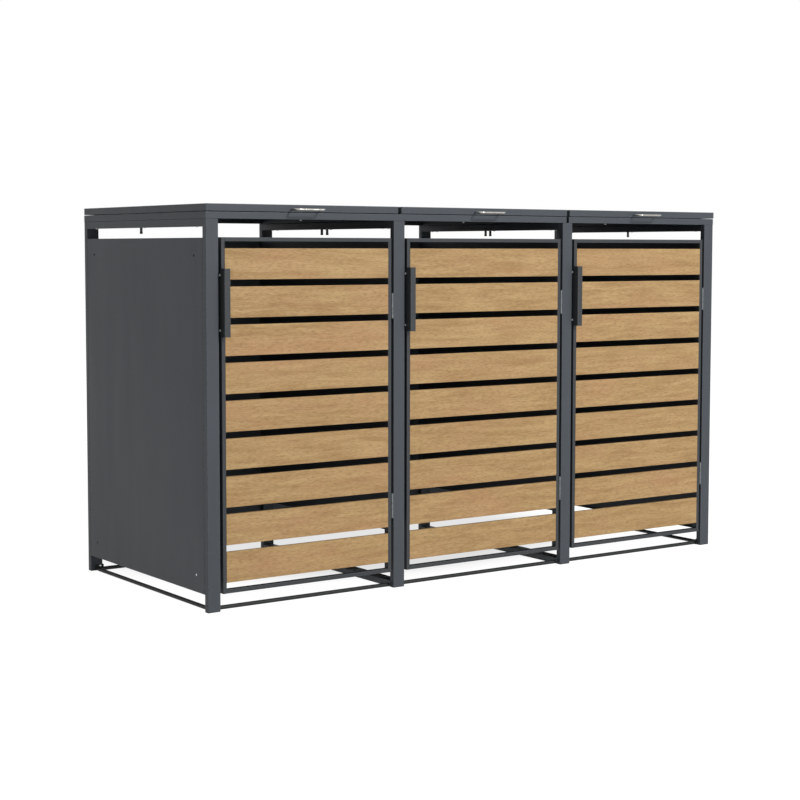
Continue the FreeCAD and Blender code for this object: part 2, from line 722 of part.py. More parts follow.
def make_hinges():
    """All the hinges; returns the leaves that turn with each door and each lid."""
    door_seat = "door_side_gap / 2"
    post_leaf = hinge_leaf("post_leaf", 1, OUTER_KNUCKLES, door_seat, "door_leaf_depth")
    door_leaf = hinge_leaf("door_leaf", -1, INNER_KNUCKLES, door_seat, "door_leaf_depth")
    rail_leaf = hinge_leaf("rail_leaf", 1, OUTER_KNUCKLES, "knuckle_middle", "lid_leaf_depth")
    lid_leaf = hinge_leaf("lid_leaf", -1, INNER_KNUCKLES, "knuckle_middle", "lid_leaf_depth")
    post_leaves = []
    rail_leaves = []
    pins = []
    door_leaves = {}
    lid_leaves = {}
    upright = FreeCAD.Rotation()
    for index, bay in enumerate(BAYS):
        door_leaves[bay.name] = []
        middles = {
            "lower": "door_floor_gap + door_hinge_inset",
            "upper": "door_top - door_hinge_inset",
        }
        for name, middle in middles.items():
            tag = f"{bay.name}_{name}"
            foot = (f"{bay.right} - door_side_gap / 2", "front_y + door_pin_set_back",
                    minus(middle, "hinge_height / 2"))
            post_leaves.append(copy_at(f"post_leaf_{tag}", post_leaf, foot, upright))
            door_leaves[bay.name].append(copy_at(f"door_leaf_{tag}", door_leaf, foot, upright))
            pins.append(turned(f"door_pin_{tag}", PIN_POINTS, foot, UP))
        lid_leaves[bay.name] = []
        left = lid_left(index)
        lid_middles = {
            "left": plus(left, "lid_hinge_inset"),
            "right": plus(left, "lid_width - lid_hinge_inset"),
        }
        for name, middle in lid_middles.items():
            tag = f"{bay.name}_{name}"
            start = (minus(middle, "hinge_height / 2"), "rear_y + knuckle_middle",
                     "lid_bottom - lid_rest_gap / 2")
            rail_leaves.append(copy_at(f"rail_leaf_{tag}", rail_leaf, start, RAIL_LEAF_TURN))
            lid_leaves[bay.name].append(copy_at(f"lid_leaf_{tag}", lid_leaf, start, LID_LEAF_TURN))
            pins.append(turned(f"lid_pin_{tag}", PIN_POINTS, start, RIGHTWARD))
    keep(group("door_hinge_post_leaves", post_leaves), "door_hinge_post_leaves")
    keep(group("lid_hinge_rail_leaves", rail_leaves), "lid_hinge_rail_leaves")
    keep(group("hinge_pins", pins), "hinge_pins")
    return door_leaves, lid_leaves


def make_door(bay, leaves):
    """One door: its tube frame, slats, handle with two screws, and its hinge leaves."""
    label = f"door_{bay.name}"
    left, right = door_edges(bay)
    handle_foot = "door_top - door_handle_drop - door_handle_length"
    screw_levels = [
        plus(handle_foot, "door_handle_screw_inset"),
        plus(handle_foot, "door_handle_length - door_handle_screw_inset"),
    ]
    seats = [
        (minus(left, "door_handle_metal"), "front_y + door_handle_screw_back", level)
        for level in screw_levels
    ]
    length = "door_handle_metal + tube_wall + screw_end"
    holes = group(f"{label}_handle_holes", [
        screw_hole(f"{label}_handle_hole_{number}", seat, LEFTWARD, length)
        for number, seat in enumerate(seats, start=1)
    ])
    screws = [
        screw(f"{label}_handle_screw_{number}", seat, LEFTWARD, length)
        for number, seat in enumerate(seats, start=1)
    ]
    keep(group(f"{label}_handle_screws", screws), f"{label}_handle_screws")

    stile_size = ("door_tube_face", "door_tube_depth", "door_height")
    inner_left = plus(left, "door_tube_face")
    inner_width = minus(right, left, "2 * door_tube_face")
    bar_size = (inner_width, "door_tube_depth", "door_tube_face")
    tubes = [
        tube(f"{label}_left_stile", "Z", (left, "front_y", "door_floor_gap"), stile_size,
             closed=("near", "far")),
        tube(f"{label}_right_stile", "Z",
             (minus(right, "door_tube_face"), "front_y", "door_floor_gap"), stile_size,
             closed=("near", "far")),
        tube(f"{label}_bottom_bar", "X", (inner_left, "front_y", "door_floor_gap"), bar_size),
        tube(f"{label}_top_bar", "X", (inner_left, "front_y", "door_top - door_tube_face"),
             bar_size),
    ]
    frame = group(f"{label}_frame_blank", tubes)
    keep(cut(f"{label}_frame", frame, holes), f"{label}_frame")

    first_slat = "door_floor_gap + door_tube_face + slat_gap"
    slat_size = (inner_width, "slat_thickness", "slat_height")
    slats = [
        block(f"{label}_slat_{number + 1}",
              (inner_left, "front_y", f"{first_slat} + {number} * (slat_height + slat_gap)"),
              slat_size)
        for number in range(SLATS)
    ]
    keep(group(f"{label}_slats", slats), f"{label}_slats")

    body = doc.addObject("PartDesign::Body", f"{label}_handle_blank")
    section = new_sketch(body, f"{label}_handle_section")
    outline(section, [
        ("0", "0"),
        ("door_handle_flange", "0"),
        ("door_handle_flange", "door_handle_metal"),
        ("door_handle_metal", "door_handle_metal"),
        ("door_handle_metal", "door_handle_reach + door_handle_grip"),
        ("0", "door_handle_reach + door_handle_grip"),
    ])
    pad(body, section, f"{label}_handle_length", "door_handle_length")
    place(body, (minus(left, "door_handle_metal"), "front_y - door_handle_reach", handle_foot))
    keep(cut(f"{label}_handle", body, holes), f"{label}_handle")
    keep(group(f"{label}_hinge_leaves", leaves), f"{label}_hinge_leaves")


def round_upper_edges(body, base, top, radius, name):
    """Round the edges of the last feature that lie in its top or rise to it."""
    doc.recompute()
    level = value(top) - LEVEL_SLACK
    names = [f"Edge{number}" for number, edge in enumerate(base.Shape.Edges, start=1)
             if edge.BoundBox.ZMax > level]
    fillet = body.newObject("PartDesign::Fillet", name)
    fillet.Base = (base, names)
    bind(fillet, "Radius", radius)


def pocket_up(body, name, low, depth, inset, width, depth_across):
    """Take a rectangular space out of the body, from one level up to another."""
    sketch = new_sketch(body, f"{name}_outline")
    outline(sketch, rectangle(inset, inset, minus(width, inset), minus(depth_across, inset)))
    bind(sketch, "AttachmentOffset.Base.z", low)
    feature = body.newObject("PartDesign::Pocket", name)
    feature.Profile = sketch
    feature.Reversed = True
    bind(feature, "Length", depth)
    return feature


def lid_handle(label, left):
    """A bent rod that stands out from the lid's front rim."""
    rod_radius = "lid_handle_rod_radius"
    rim_y = "front_y - lid_overhang"
    level = "lid_bottom + lid_handle_level"
    middle = plus(left, "lid_width / 2")
    leg_length = "lid_handle_reach - lid_handle_rod_radius - lid_handle_bend"
    members = []
    for name, offset, inward, start_angle in (
            ("left", "-lid_handle_centres / 2", "lid_handle_bend", 180),
            ("right", "lid_handle_centres / 2", "-lid_handle_bend", 270)):
        leg_x = plus(middle, offset)
        members.append(rod(f"{label}_{name}_leg", (leg_x, rim_y, level), FORWARD, rod_radius,
                           leg_length))
        members.append(rod_bend(f"{label}_{name}_bend",
                                (plus(leg_x, inward), minus(rim_y, leg_length), level),
                                "lid_handle_bend", rod_radius, start_angle))
    bar_start = (plus(middle, "lid_handle_bend - lid_handle_centres / 2"),
                 minus(rim_y, "lid_handle_reach - lid_handle_rod_radius"), level)
    members.append(rod(f"{label}_bar", bar_start, RIGHTWARD, rod_radius,
                       "lid_handle_centres - 2 * lid_handle_bend"))
    return fuse(label, members)


def make_lid(index, bay, leaves):
    """One lid: a folded pan with a returned flange, two ribs, a bow handle and hinge leaves."""
    label = f"lid_{bay.name}"
    left = lid_left(index)
    front = "front_y - lid_overhang"
    body = doc.addObject("PartDesign::Body", f"{label}_pan")
    sketch = new_sketch(body, f"{label}_outline")
    outline(sketch, rectangle("0", "0", "lid_width", "lid_depth"))
    solid = pad(body, sketch, f"{label}_solid", "lid_rim")
    round_upper_edges(body, solid, "lid_rim", "lid_corner_radius", f"{label}_folds")
    pocket_up(body, f"{label}_inside", "sheet_metal", "lid_rim - 2 * sheet_metal", "sheet_metal",
              "lid_width", "lid_depth")
    pocket_up(body, f"{label}_mouth", "0", "sheet_metal", "sheet_metal + lid_flange",
              "lid_width", "lid_depth")
    place(body, (left, front, "lid_bottom"))
    keep(body, f"{label}_pan")

    rib_size = ("lid_rib_width", "lid_depth - 2 * sheet_metal", "lid_rib_height")
    rib_level = "store_height - sheet_metal - lid_rib_height"
    ribs = [
        tube(f"{label}_rib_{number}", "Y",
             (f"{left} + {number} * lid_width / 3 - lid_rib_width / 2",
              plus(front, "sheet_metal"), rib_level), rib_size)
        for number in (1, 2)
    ]
    keep(group(f"{label}_ribs", ribs), f"{label}_ribs")
    keep(lid_handle(f"{label}_handle", left), f"{label}_handle")
    keep(group(f"{label}_hinge_leaves", leaves), f"{label}_hinge_leaves")


def make_buffers():
    """Rubber buffers on the front top rails, two under each lid."""
    points = rectangle("0", "0", "buffer_radius", "lid_rest_gap - buffer_relief")
    buffers = []
    for index, bay in enumerate(BAYS):
        left = lid_left(index)
        for name, x in (("left", plus(left, "buffer_inset")),
                        ("right", plus(left, "lid_width - buffer_inset"))):
            seat = (x, "front_y + post_depth / 2", "post_height + top_rail_height")
            buffers.append(turned(f"buffer_{bay.name}_{name}", points, seat, UP))
    keep(group("lid_buffers", buffers), "lid_buffers")


foot_screw_holes = make_foot_screw_holes()
rail_holes = make_rail_holes()
make_posts()
make_top_frame()
make_cross_rails()
make_sheets()
make_floor()
make_frame_fasteners()
door_leaf_groups, lid_leaf_groups = make_hinges()
for bay_index, each_bay in enumerate(BAYS):
    make_door(each_bay, door_leaf_groups[each_bay.name])
    make_lid(bay_index, each_bay, lid_leaf_groups[each_bay.name])
make_buffers()
doc.recompute()

failed = [item.Label for item in doc.Objects if {"Invalid", "Error"} & set(item.State)]
if failed:
    raise RuntimeError(f"These objects failed: {failed}")
for node in nodes:
    if node.Shape.isNull() or not node.Shape.isValid():
        raise RuntimeError(f"{node.Label} has no valid shape")

os.makedirs("parts", exist_ok=True)
for node in nodes:
    node.Shape.exportStep(f"parts/{node.Label}.step")
    print(f"{node.Label}: {len(node.Shape.Solids)} solids, {node.Shape.Volume:.0f} mm3")
print(f"{len(nodes)} nodes")
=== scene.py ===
"""The looks of a three-bay wheelie bin store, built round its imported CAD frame.

Shapes are worked out in millimetres, in the frame of the CAD model, and are written to Blender in
metres. Each sub-assembly is a class whose fields are the sizes that its makers would quote.
"""
import logging
import math
import random
from dataclasses import dataclass, field
from enum import Enum
from itertools import product
from typing import ClassVar

import bmesh
import bpy
from mathutils import Matrix, Vector
from mathutils.geometry import tessellate_polygon


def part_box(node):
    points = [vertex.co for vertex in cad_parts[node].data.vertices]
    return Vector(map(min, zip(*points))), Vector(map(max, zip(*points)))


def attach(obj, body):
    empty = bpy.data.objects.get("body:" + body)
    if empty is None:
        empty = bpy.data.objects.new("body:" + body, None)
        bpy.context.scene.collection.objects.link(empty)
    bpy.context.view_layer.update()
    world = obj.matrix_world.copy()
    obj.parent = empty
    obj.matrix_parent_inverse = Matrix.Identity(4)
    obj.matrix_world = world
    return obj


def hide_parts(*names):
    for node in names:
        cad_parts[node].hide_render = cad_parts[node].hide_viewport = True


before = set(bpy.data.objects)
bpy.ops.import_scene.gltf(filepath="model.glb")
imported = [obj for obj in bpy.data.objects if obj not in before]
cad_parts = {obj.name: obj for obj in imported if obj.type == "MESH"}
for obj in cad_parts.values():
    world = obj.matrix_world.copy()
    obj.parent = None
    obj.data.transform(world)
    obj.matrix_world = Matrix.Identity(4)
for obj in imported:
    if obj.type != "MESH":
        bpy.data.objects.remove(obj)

logging.basicConfig(level=logging.INFO, format="%(message)s")
log = logging.getLogger("bin_store")

MM = 0.001
BAYS = ("left", "middle", "right")
CRISP = 35.0  # degrees: small pressed and turned parts keep folds sharper than this
WHITE = (1.0, 1.0, 1.0, 1.0)

Point = tuple[float, float]
Triple = tuple[float, float, float]
Outline = list[tuple[float, float, bool]]
Row = list[bmesh.types.BMVert]
Tree = bpy.types.NodeTree
Socket = bpy.types.NodeSocket


class Axis(Enum):
    """The way that a tube or a section runs."""

    X = 0
    Y = 1
    Z = 2


class Slot(Enum):
    """The record's material slots."""

    PAINT = "anthracite_paint"
    OAK = "oak_board"
    ZINC = "zinc_steel"
    BRIGHT = "bright_handle"
    DARK = "dark_cap"


class Face(Enum):
    """The side of its box where a folded sheet has its open mouth: an axis and a way along it."""

    TO_RIGHT = (Axis.X, 1)
    TO_LEFT = (Axis.X, -1)
    TO_REAR = (Axis.Y, 1)


def rounded_outline(corners: list[Point], radii: float | list[float],
                    steps: int = 4) -> Outline:
    """Walk round a polygon with its corners turned into arcs.

    Args:
        corners: the sharp corners, anticlockwise.
        radii: one radius for all corners, or one for each.
        steps: straight pieces in each arc.

    Returns:
        Points as across, up, and whether the edge that leaves the point is part of an arc.
    """
    count = len(corners)
    radii = [radii] * count if isinstance(radii, (int, float)) else radii
    points = []
    for index, (corner, radius) in enumerate(zip(corners, radii)):
        here = Vector(corner)
        back = (Vector(corners[index - 1]) - here).normalized()
        onward = (Vector(corners[(index + 1) % count]) - here).normalized()
        half_angle = back.angle(onward) / 2
        reach = radius / math.tan(half_angle)
        centre = here + (back + onward).normalized() * radius / math.sin(half_angle)
        first, last = here + back * reach - centre, here + onward * reach - centre
        turn = math.atan2(first.x * last.y - first.y * last.x, first.dot(last))
        for step in range(steps + 1):
            angle = turn * step / steps
            x = first.x * math.cos(angle) - first.y * math.sin(angle)
            y = first.x * math.sin(angle) + first.y * math.cos(angle)
            points.append((centre.x + x, centre.y + y, step < steps))
    return points


def rectangle(width: float, height: float, inset: float = 0.0) -> list[Point]:
    """The corners of a rectangle from the origin, moved inward by an inset."""
    return [(inset, inset), (width - inset, inset), (width - inset, height - inset),
            (inset, height - inset)]


def moved(outline: Outline, across: float, up: float) -> Outline:
    """An outline moved to its place."""
    return [(x + across, y + up, arc) for x, y, arc in outline]


def arc_marks(outline: Outline) -> list[float]:
    """1 for each edge of an outline that is part of an arc, and 0 for a straight one."""
    return [float(arc) for _across, _up, arc in outline]


def turn_angles(steps: int) -> list[float]:
    """Even angles round a full turn."""
    return [2 * math.pi * step / steps for step in range(steps)]


def circle(radius: float, height: float, angles: list[float]) -> list[Vector]:
    """Points round the Z axis at given angles."""
    return [Vector((radius * math.cos(a), radius * math.sin(a), height)) for a in angles]


def quarter_bend(radius: float, steps: int) -> list[Point]:
    """A quarter bend, as its points' distances from the two faces that it joins."""
    angles = [math.pi / 2 * step / steps for step in range(steps + 1)]
    return [(radius * (1 - math.cos(a)), radius * (1 - math.sin(a))) for a in angles]


def spot(x: float, y: float, z: float) -> Matrix:
    """A place that is moved from the origin and not turned."""
    return Matrix.Translation((x, y, z))


def facing(way: Vector) -> Matrix:
    """A place at the origin whose Z axis points along a way."""
    return way.to_track_quat("Z", "Y").to_matrix().to_4x4()


@dataclass(frozen=True)
class Box:
    """A box along the axes, in millimetres."""

    low: Vector
    high: Vector

    @classmethod
    def of_node(cls, node: str) -> "Box":
        """The box of a CAD node at rest."""
        low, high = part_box(node)
        return cls(low / MM, high / MM)

    @classmethod
    def spanning(cls, x: Point, y: Point, z: Point) -> "Box":
        """A box from its three spans."""
        return cls(Vector((x[0], y[0], z[0])), Vector((x[1], y[1], z[1])))

    @property
    def size(self) -> Vector:
        """Its three lengths."""
        return self.high - self.low

    @property
    def middle(self) -> Vector:
        """Its centre."""
        return (self.low + self.high) / 2

    def span(self, axis: Axis) -> Point:
        """Its lowest and highest value on an axis."""
        return self.low[axis.value], self.high[axis.value]

    def outline(self, run: Axis, inset: float, radius: float) -> Outline:
        """Its cross-section, with rounded corners.

        Args:
            run: the axis that the section lies square to.
            inset: how far it is moved inward.
            radius: of its corners.

        Returns:
            Values in the two axes after the run, in turn, with the arcs marked.
        """
        across, up = (run.value + 1) % 3, (run.value + 2) % 3
        corners = rectangle(self.size[across], self.size[up], inset)
        return moved(rounded_outline(corners, radius), self.low[across], self.low[up])


def linear(hex_colour: str) -> tuple[float, float, float, float]:
    """Turn an sRGB hex colour into the linear values that shaders use.

    Args:
        hex_colour: six hex digits with a leading #.

    Returns:
        Red, green, blue and a full alpha.
    """
    channels = [int(hex_colour[start:start + 2], 16) / 255 for start in (1, 3, 5)]
    red, green, blue = (
        c / 12.92 if c <= 0.04045 else ((c + 0.055) / 1.055) ** 2.4 for c in channels
    )
    return red, green, blue, 1.0


def per_metre(millimetres: float) -> float:
    """The texture scale at which one cell of a pattern is this long."""
    return 1 / (millimetres * MM)


def show(name: str, data: bpy.types.ID) -> bpy.types.Object:
    """Put an object in the scene.

    Args:
        name: the object's name.
        data: its mesh, lamp or camera.

    Returns:
        The new object.
    """
    made = bpy.data.objects.new(name, data)
    bpy.context.scene.collection.objects.link(made)
    return made


def add_node(tree: Tree, kind: str, links: dict | None = None, inputs: dict | None = None,
             **settings: object) -> bpy.types.Node:
    """Add one shader node.

    Args:
        tree: the material's node tree.
        kind: the node's type name, without its ShaderNode prefix.
        links: input name or number to the output socket that feeds it.
        inputs: input name or number to its own value.
        settings: properties of the node itself.

    Returns:
        The new node.
    """
    node = tree.nodes.new("ShaderNode" + kind)
    for name, setting in settings.items():
        setattr(node, name, setting)
    for name, content in (inputs or {}).items():
        node.inputs[name].default_value = content
    for name, output in (links or {}).items():
        tree.links.new(output, node.inputs[name])
    return node


def ranges(old: Point, new: Point) -> dict[str, float]:
    """The values that map one range to another and hold it there."""
    return {"From Min": old[0], "From Max": old[1], "To Min": new[0], "To Max": new[1]}


def own_coordinates(tree: Tree, stretch: Triple = (1, 1, 1), shift: Socket | None = None,
                    bend: Socket | None = None) -> Socket:
    """Coordinates of the piece itself in metres, stretched along its axes.

    Args:
        tree: the material's node tree.
        stretch: the scale along X, Y and Z.
        shift: a vector that moves the pattern before it is stretched.
        bend: a vector that is added after that.

    Returns:
        The vector output to feed a texture with.
    """
    where = add_node(tree, "TexCoord").outputs["Object"]
    if shift is not None:
        where = add_node(tree, "VectorMath", {0: where, 1: shift}, operation="ADD").outputs[0]
    where = add_node(tree, "Mapping", {"Vector": where}, {"Scale": stretch}).outputs[0]
    if bend is not None:
        where = add_node(tree, "VectorMath", {0: where, 1: bend}, operation="ADD").outputs[0]
    return where


def grain(tree: Tree, cell: float, detail: float, fineness: float = 0.5,
          **placing: object) -> Socket:
    """A random pattern whose cells have a real size.

    Args:
        tree: the material's node tree.
        cell: the size of a cell in millimetres.
        detail: how many finer layers lie in it.
        fineness: how strong those layers are.
        placing: stretch, shift and bend, as own_coordinates takes them.

    Returns:
        A value between 0 and 1.
    """
    where = own_coordinates(tree, **placing)
    return add_node(tree, "TexNoise", {"Vector": where}, {
        "Scale": per_metre(cell), "Detail": detail, "Roughness": fineness}).outputs["Fac"]


def stain(tree: Tree, base: Socket | str, colour: str, pattern: Socket,
          levels: Point | None = None, full: float = 1.0) -> Socket:
    """Lay a colour over another where a pattern is strong.

    Args:
        tree: the material's node tree.
        base: the colour below, as a socket or in hex.
        colour: the colour on top, in hex.
        pattern: a value between 0 and 1.
        levels: the pattern's values at which the colour begins and is full; without them, the
            pattern is the colour's share.
        full: the colour's share where it is full.

    Returns:
        The mixed colour.
    """
    below, above = 6, 7  # the inputs of a colour mix that hold its two colours
    if levels is not None:
        pattern = add_node(tree, "MapRange", {"Value": pattern},
                           ranges(levels, (0, full))).outputs[0]
    links, inputs = {0: pattern}, {above: linear(colour)}
    if isinstance(base, str):
        inputs[below] = linear(base)
    else:
        links[below] = base
    return add_node(tree, "Mix", links, inputs, data_type="RGBA").outputs[2]


@dataclass(frozen=True)
class Finish:
    """A finish that makes its material once and hands it to every piece that asks.

    Its fields hold real sizes in millimetres and shares between 0 and 1. The roughness moves by
    the two steps of sheen, as one of its patterns goes from low to high.
    """

    label: str = ""
    slot: Slot = Slot.PAINT
    roughness: float = 0.5
    sheen: Point = (0.0, 0.0)
    metallic: float = 0.0
    ior: float | None = None  # None keeps the shader's own, as a metal does
    specular: float | None = None
    usual: ClassVar[Point] = (0.3, 0.7)  # most of a random pattern's values lie between these
    made: ClassVar[dict[str, bpy.types.Material]] = {}

    def material(self) -> bpy.types.Material:
        """The material, made on the first call.

        Returns:
            The one material of this finish.
        """
        if self.label not in Finish.made:
            made = bpy.data.materials.new(self.label)
            made.use_nodes = True
            tree = made.node_tree
            tree.nodes.clear()
            constants = {"Metallic": self.metallic, "IOR": self.ior,
                         "Specular IOR Level": self.specular}
            shader = add_node(tree, "BsdfPrincipled", self.patterns(tree), {
                name: value for name, value in constants.items() if value is not None})
            add_node(tree, "OutputMaterial", {"Surface": shader.outputs["BSDF"]})
            Finish.made[self.label] = made
        return Finish.made[self.label]

    def patterns(self, tree: Tree) -> dict[str, Socket]:
        """What varies over the surface, by the shader's input that it feeds."""
        raise NotImplementedError

    def surface(self, tree: Tree, colour: Socket, sheen: Socket,
                *reliefs: tuple[Socket, float, float]) -> dict[str, Socket]:
        """Gather what a finish has drawn.

        Args:
            tree: the material's node tree.
            colour: its base colour.
            sheen: the pattern that its roughness follows.
            reliefs: each pattern that is raised on the one before, with its depth in millimetres
                and its strength.

        Returns:
            The shader's inputs and what feeds them.
        """
        rough = add_node(tree, "MapRange", {"Value": sheen}, ranges(
            self.usual, (self.roughness + self.sheen[0], self.roughness + self.sheen[1])))
        below: dict[str, Socket] = {}
        for height, depth, strength in reliefs:
            bump = add_node(tree, "Bump", {"Height": height, **below},
                            {"Distance": depth * MM, "Strength": strength})
            below = {"Normal": bump.outputs[0]}
        return {"Base Color": colour, "Roughness": rough.outputs[0], **below}


@dataclass(frozen=True)
class PowderCoatedSteel(Finish):
    """Mild steel tube and sheet, degreased and electrostatically powder coated in anthracite.

    Powder flows out in the oven to a satin film with a faint orange peel, which breaks the
    highlights up. It is thinnest on the folds, where rubbing polishes it a little lighter.
    """

    label: str = "powder_coated_steel"
    film: str = "#383D43"
    film_cool: str = "#3C4147"
    rubbed: str = "#565C62"
    tint_mm: float = 240.0
    chip_mm: float = 5.0
    chip_levels: Point = (0.42, 0.66)
    chip_share: Point = (0.1, 0.85)
    run_mm: float = 60.0  # rain leaves soft upright runs in the sheen
    run_stretch: Triple = (1, 1, 0.12)
    peel_mm: float = 2.6
    peel_depth: float = 0.03
    peel_strength: float = 0.5
    sheen: Point = (-0.02, 0.03)
    ior: float = 1.5
    specular: float = 0.28  # a satin film mirrors less than a gloss one of the same resin

    def patterns(self, tree: Tree) -> dict[str, Socket]:
        """Clouded tint, rubbed folds, rain runs in the sheen and orange peel.

        Args:
            tree: the material's node tree.

        Returns:
            The shader's inputs and what feeds them.
        """
        cloud = grain(tree, self.tint_mm, 4)
        base = stain(tree, self.film, self.film_cool, cloud, self.usual)
        folds = add_node(tree, "Attribute", attribute_name="rubbed").outputs["Fac"]
        chips = add_node(tree, "MapRange", {"Value": grain(tree, self.chip_mm, 5, 0.7)},
                         ranges(self.chip_levels, self.chip_share))
        wear = add_node(tree, "Math", {0: folds, 1: chips.outputs[0]}, operation="MULTIPLY")
        return self.surface(tree, stain(tree, base, self.rubbed, wear.outputs[0]),
                            grain(tree, self.run_mm, 3, stretch=self.run_stretch),
                            (grain(tree, self.peel_mm, 2), self.peel_depth, self.peel_strength))


@dataclass(frozen=True)
class OakPrint(Finish):
    """Aluminium board with a light oak film, printed and wrapped, with a fine brushed emboss.

    The print has the streaks, pores and pinkish clouds of oiled oak, all the same way, with a
    dull sheen. Each board is cut from another stretch of the film, so no two match.
    """

    label: str = "light_oak_print"
    slot: Slot = Slot.OAK
    pale: str = "#AE9266"
    tan: str = "#96774F"
    pink: str = "#A9825E"
    line: str = "#755A38"
    streak_mm: float = 16.0
    streak_stretch: Triple = (0.09, 1, 1)
    streak_levels: Point = (0.34, 0.66)
    drift_mm: float = 110.0
    drift_stretch: Triple = (0.35, 1, 1)
    drift_levels: Point = (0.2, 0.8)
    drift_reach: float = 11.0
    cloud_mm: float = 120.0
    cloud_levels: Point = (0.46, 0.72)
    cloud_share: float = 0.6
    line_mm: float = 3.2  # real print lines are about 1 mm; drawn coarser so that they show
    line_stretch: Triple = (0.2, 1, 1)
    line_levels: Point = (0.44, 0.72)
    line_share: float = 0.56
    line_depth: float = 0.12
    line_strength: float = 0.5
    pore_mm: float = 2.4  # real pores are 0.3 mm wide; drawn coarser so that they show
    pore_levels: Point = (0.1, 0.34)
    pore_share: float = 0.1
    pore_depth: float = -0.1
    pore_strength: float = 0.4
    roughness: float = 0.58
    sheen: Point = (-0.05, 0.08)
    ior: float = 1.47
    specular: float = 0.25  # the film is embossed and matt

    def patterns(self, tree: Tree) -> dict[str, Socket]:
        """Streaks, drifting figure, pores, clouds and the emboss along the grain.

        Args:
            tree: the material's node tree.

        Returns:
            The shader's inputs and what feeds them.
        """
        shift = add_node(tree, "Attribute", attribute_name="film_start").outputs["Vector"]
        # The lines wander: a slow pattern bends the coordinates before the streaks are drawn.
        drift = grain(tree, self.drift_mm, 2, stretch=self.drift_stretch, shift=shift)
        reach = self.drift_reach * MM
        sway = add_node(tree, "MapRange", {"Value": drift},
                        ranges(self.drift_levels, (-reach, reach)))
        bend = add_node(tree, "CombineXYZ", {"Z": sway.outputs[0]}).outputs[0]
        streaks = grain(tree, self.streak_mm, 4, 0.65, stretch=self.streak_stretch, shift=shift,
                        bend=bend)
        clouds = grain(tree, self.cloud_mm, 3, 0.6, stretch=self.drift_stretch, shift=shift)
        lines = grain(tree, self.line_mm, 3, 0.6, stretch=self.line_stretch, shift=shift,
                      bend=bend)
        cells = add_node(tree, "TexVoronoi",
                         {"Vector": own_coordinates(tree, self.line_stretch, shift, bend)},
                         {"Scale": per_metre(self.pore_mm * 2), "Randomness": 1.0})
        pores = add_node(tree, "MapRange", {"Value": cells.outputs["Distance"]},
                         ranges(self.pore_levels, (self.pore_share, 0))).outputs[0]
        base = stain(tree, self.pale, self.tan, streaks, self.streak_levels)
        base = stain(tree, base, self.pink, clouds, self.cloud_levels, self.cloud_share)
        base = stain(tree, base, self.line, lines, self.line_levels, self.line_share)
        base = stain(tree, base, self.line, pores)
        return self.surface(tree, base, streaks, (lines, self.line_depth, self.line_strength),
                            (pores, self.pore_depth, self.pore_strength))


@dataclass(frozen=True)
class MottledFinish(Finish):
    """A finish whose colour drifts in patches, with a fine pattern in its sheen and relief."""

    colour: str = ""
    patch: str = ""
    patch_mm: float = 10.0
    patch_detail: float = 4.0
    patch_fineness: float = 0.5
    patch_levels: Point = (0.4, 0.7)
    fine_mm: float = 1.0
    fine_detail: float = 3.0
    fine_stretch: Triple = (1, 1, 1)
    fine_depth: float = 0.02
    fine_strength: float = 0.5

    def patterns(self, tree: Tree) -> dict[str, Socket]:
        """The patches and the fine pattern.

        Args:
            tree: the material's node tree.

        Returns:
            The shader's inputs and what feeds them.
        """
        patches = grain(tree, self.patch_mm, self.patch_detail, self.patch_fineness)
        fine = grain(tree, self.fine_mm, self.fine_detail, stretch=self.fine_stretch)
        return self.surface(tree, stain(tree, self.colour, self.patch, patches, self.patch_levels),
                            fine, (fine, self.fine_depth, self.fine_strength))


@dataclass(frozen=True)
class ZincPlatedSteel(MottledFinish):
    """Pressed and turned steel, zinc plated and clear passivated.

    Bright but milky: the passivation clouds the reflections in patches and leaves a fine grain.
    """

    label: str = "zinc_plated_steel"
    slot: Slot = Slot.ZINC
    colour: str = "#E4E7EA"
    patch: str = "#D9DADA"
    patch_mm: float = 14.0
    patch_levels: Point = (0.42, 0.7)
    fine_mm: float = 1.6
    metallic: float = 1.0
    roughness: float = 0.34
    sheen: Point = (-0.08, 0.12)


@dataclass(frozen=True)
class ZincPaintedShade(ZincPlatedSteel):
    """The same zinc plating, as on the hinges, in a darker copy.

    Its mottled mid grey is painted shade that stands in for the darker reflections of the hinges,
    and its roughness has blurred the reflections nearly away.
    """

    label: str = "zinc_painted_shade"
    colour: str = "#6C7073"
    patch: str = "#5A5D5F"
    patch_mm: float = 9.0
    roughness: float = 0.5


@dataclass(frozen=True)
class SatinNickel(MottledFinish):
    """Bent steel rod, brushed along its length and nickel plated.

    A warm grey metal whose highlight is drawn out across the fine brushing, a little darker
    where hands have worn it.
    """

    label: str = "satin_nickel"
    slot: Slot = Slot.BRIGHT
    colour: str = "#ABA9A5"
    patch: str = "#9C9993"
    patch_mm: float = 26.0
    patch_detail: float = 3.0
    fine_mm: float = 0.9  # real brushing is about 0.1 mm; drawn coarser so that it shows
    fine_stretch: Triple = (0.06, 1, 1)
    fine_depth: float = 0.015
    metallic: float = 1.0
    roughness: float = 0.24
    sheen: Point = (-0.06, 0.1)


@dataclass(frozen=True)
class MouldedRubber(MottledFinish):
    """Black rubber, compression moulded.

    Dull, with the faint speckle of the mould and a grey bloom where it ages.
    """

    label: str = "black_rubber"
    slot: Slot = Slot.DARK
    colour: str = "#1A1A1C"
    patch: str = "#2C2C2E"
    patch_mm: float = 9.0
    patch_fineness: float = 0.6
    patch_levels: Point = (0.45, 0.75)
    fine_mm: float = 1.2
    fine_detail: float = 2.0
    fine_depth: float = 0.04
    fine_strength: float = 0.6
    roughness: float = 0.72
    sheen: Point = (-0.08, 0.1)
    ior: float = 1.52


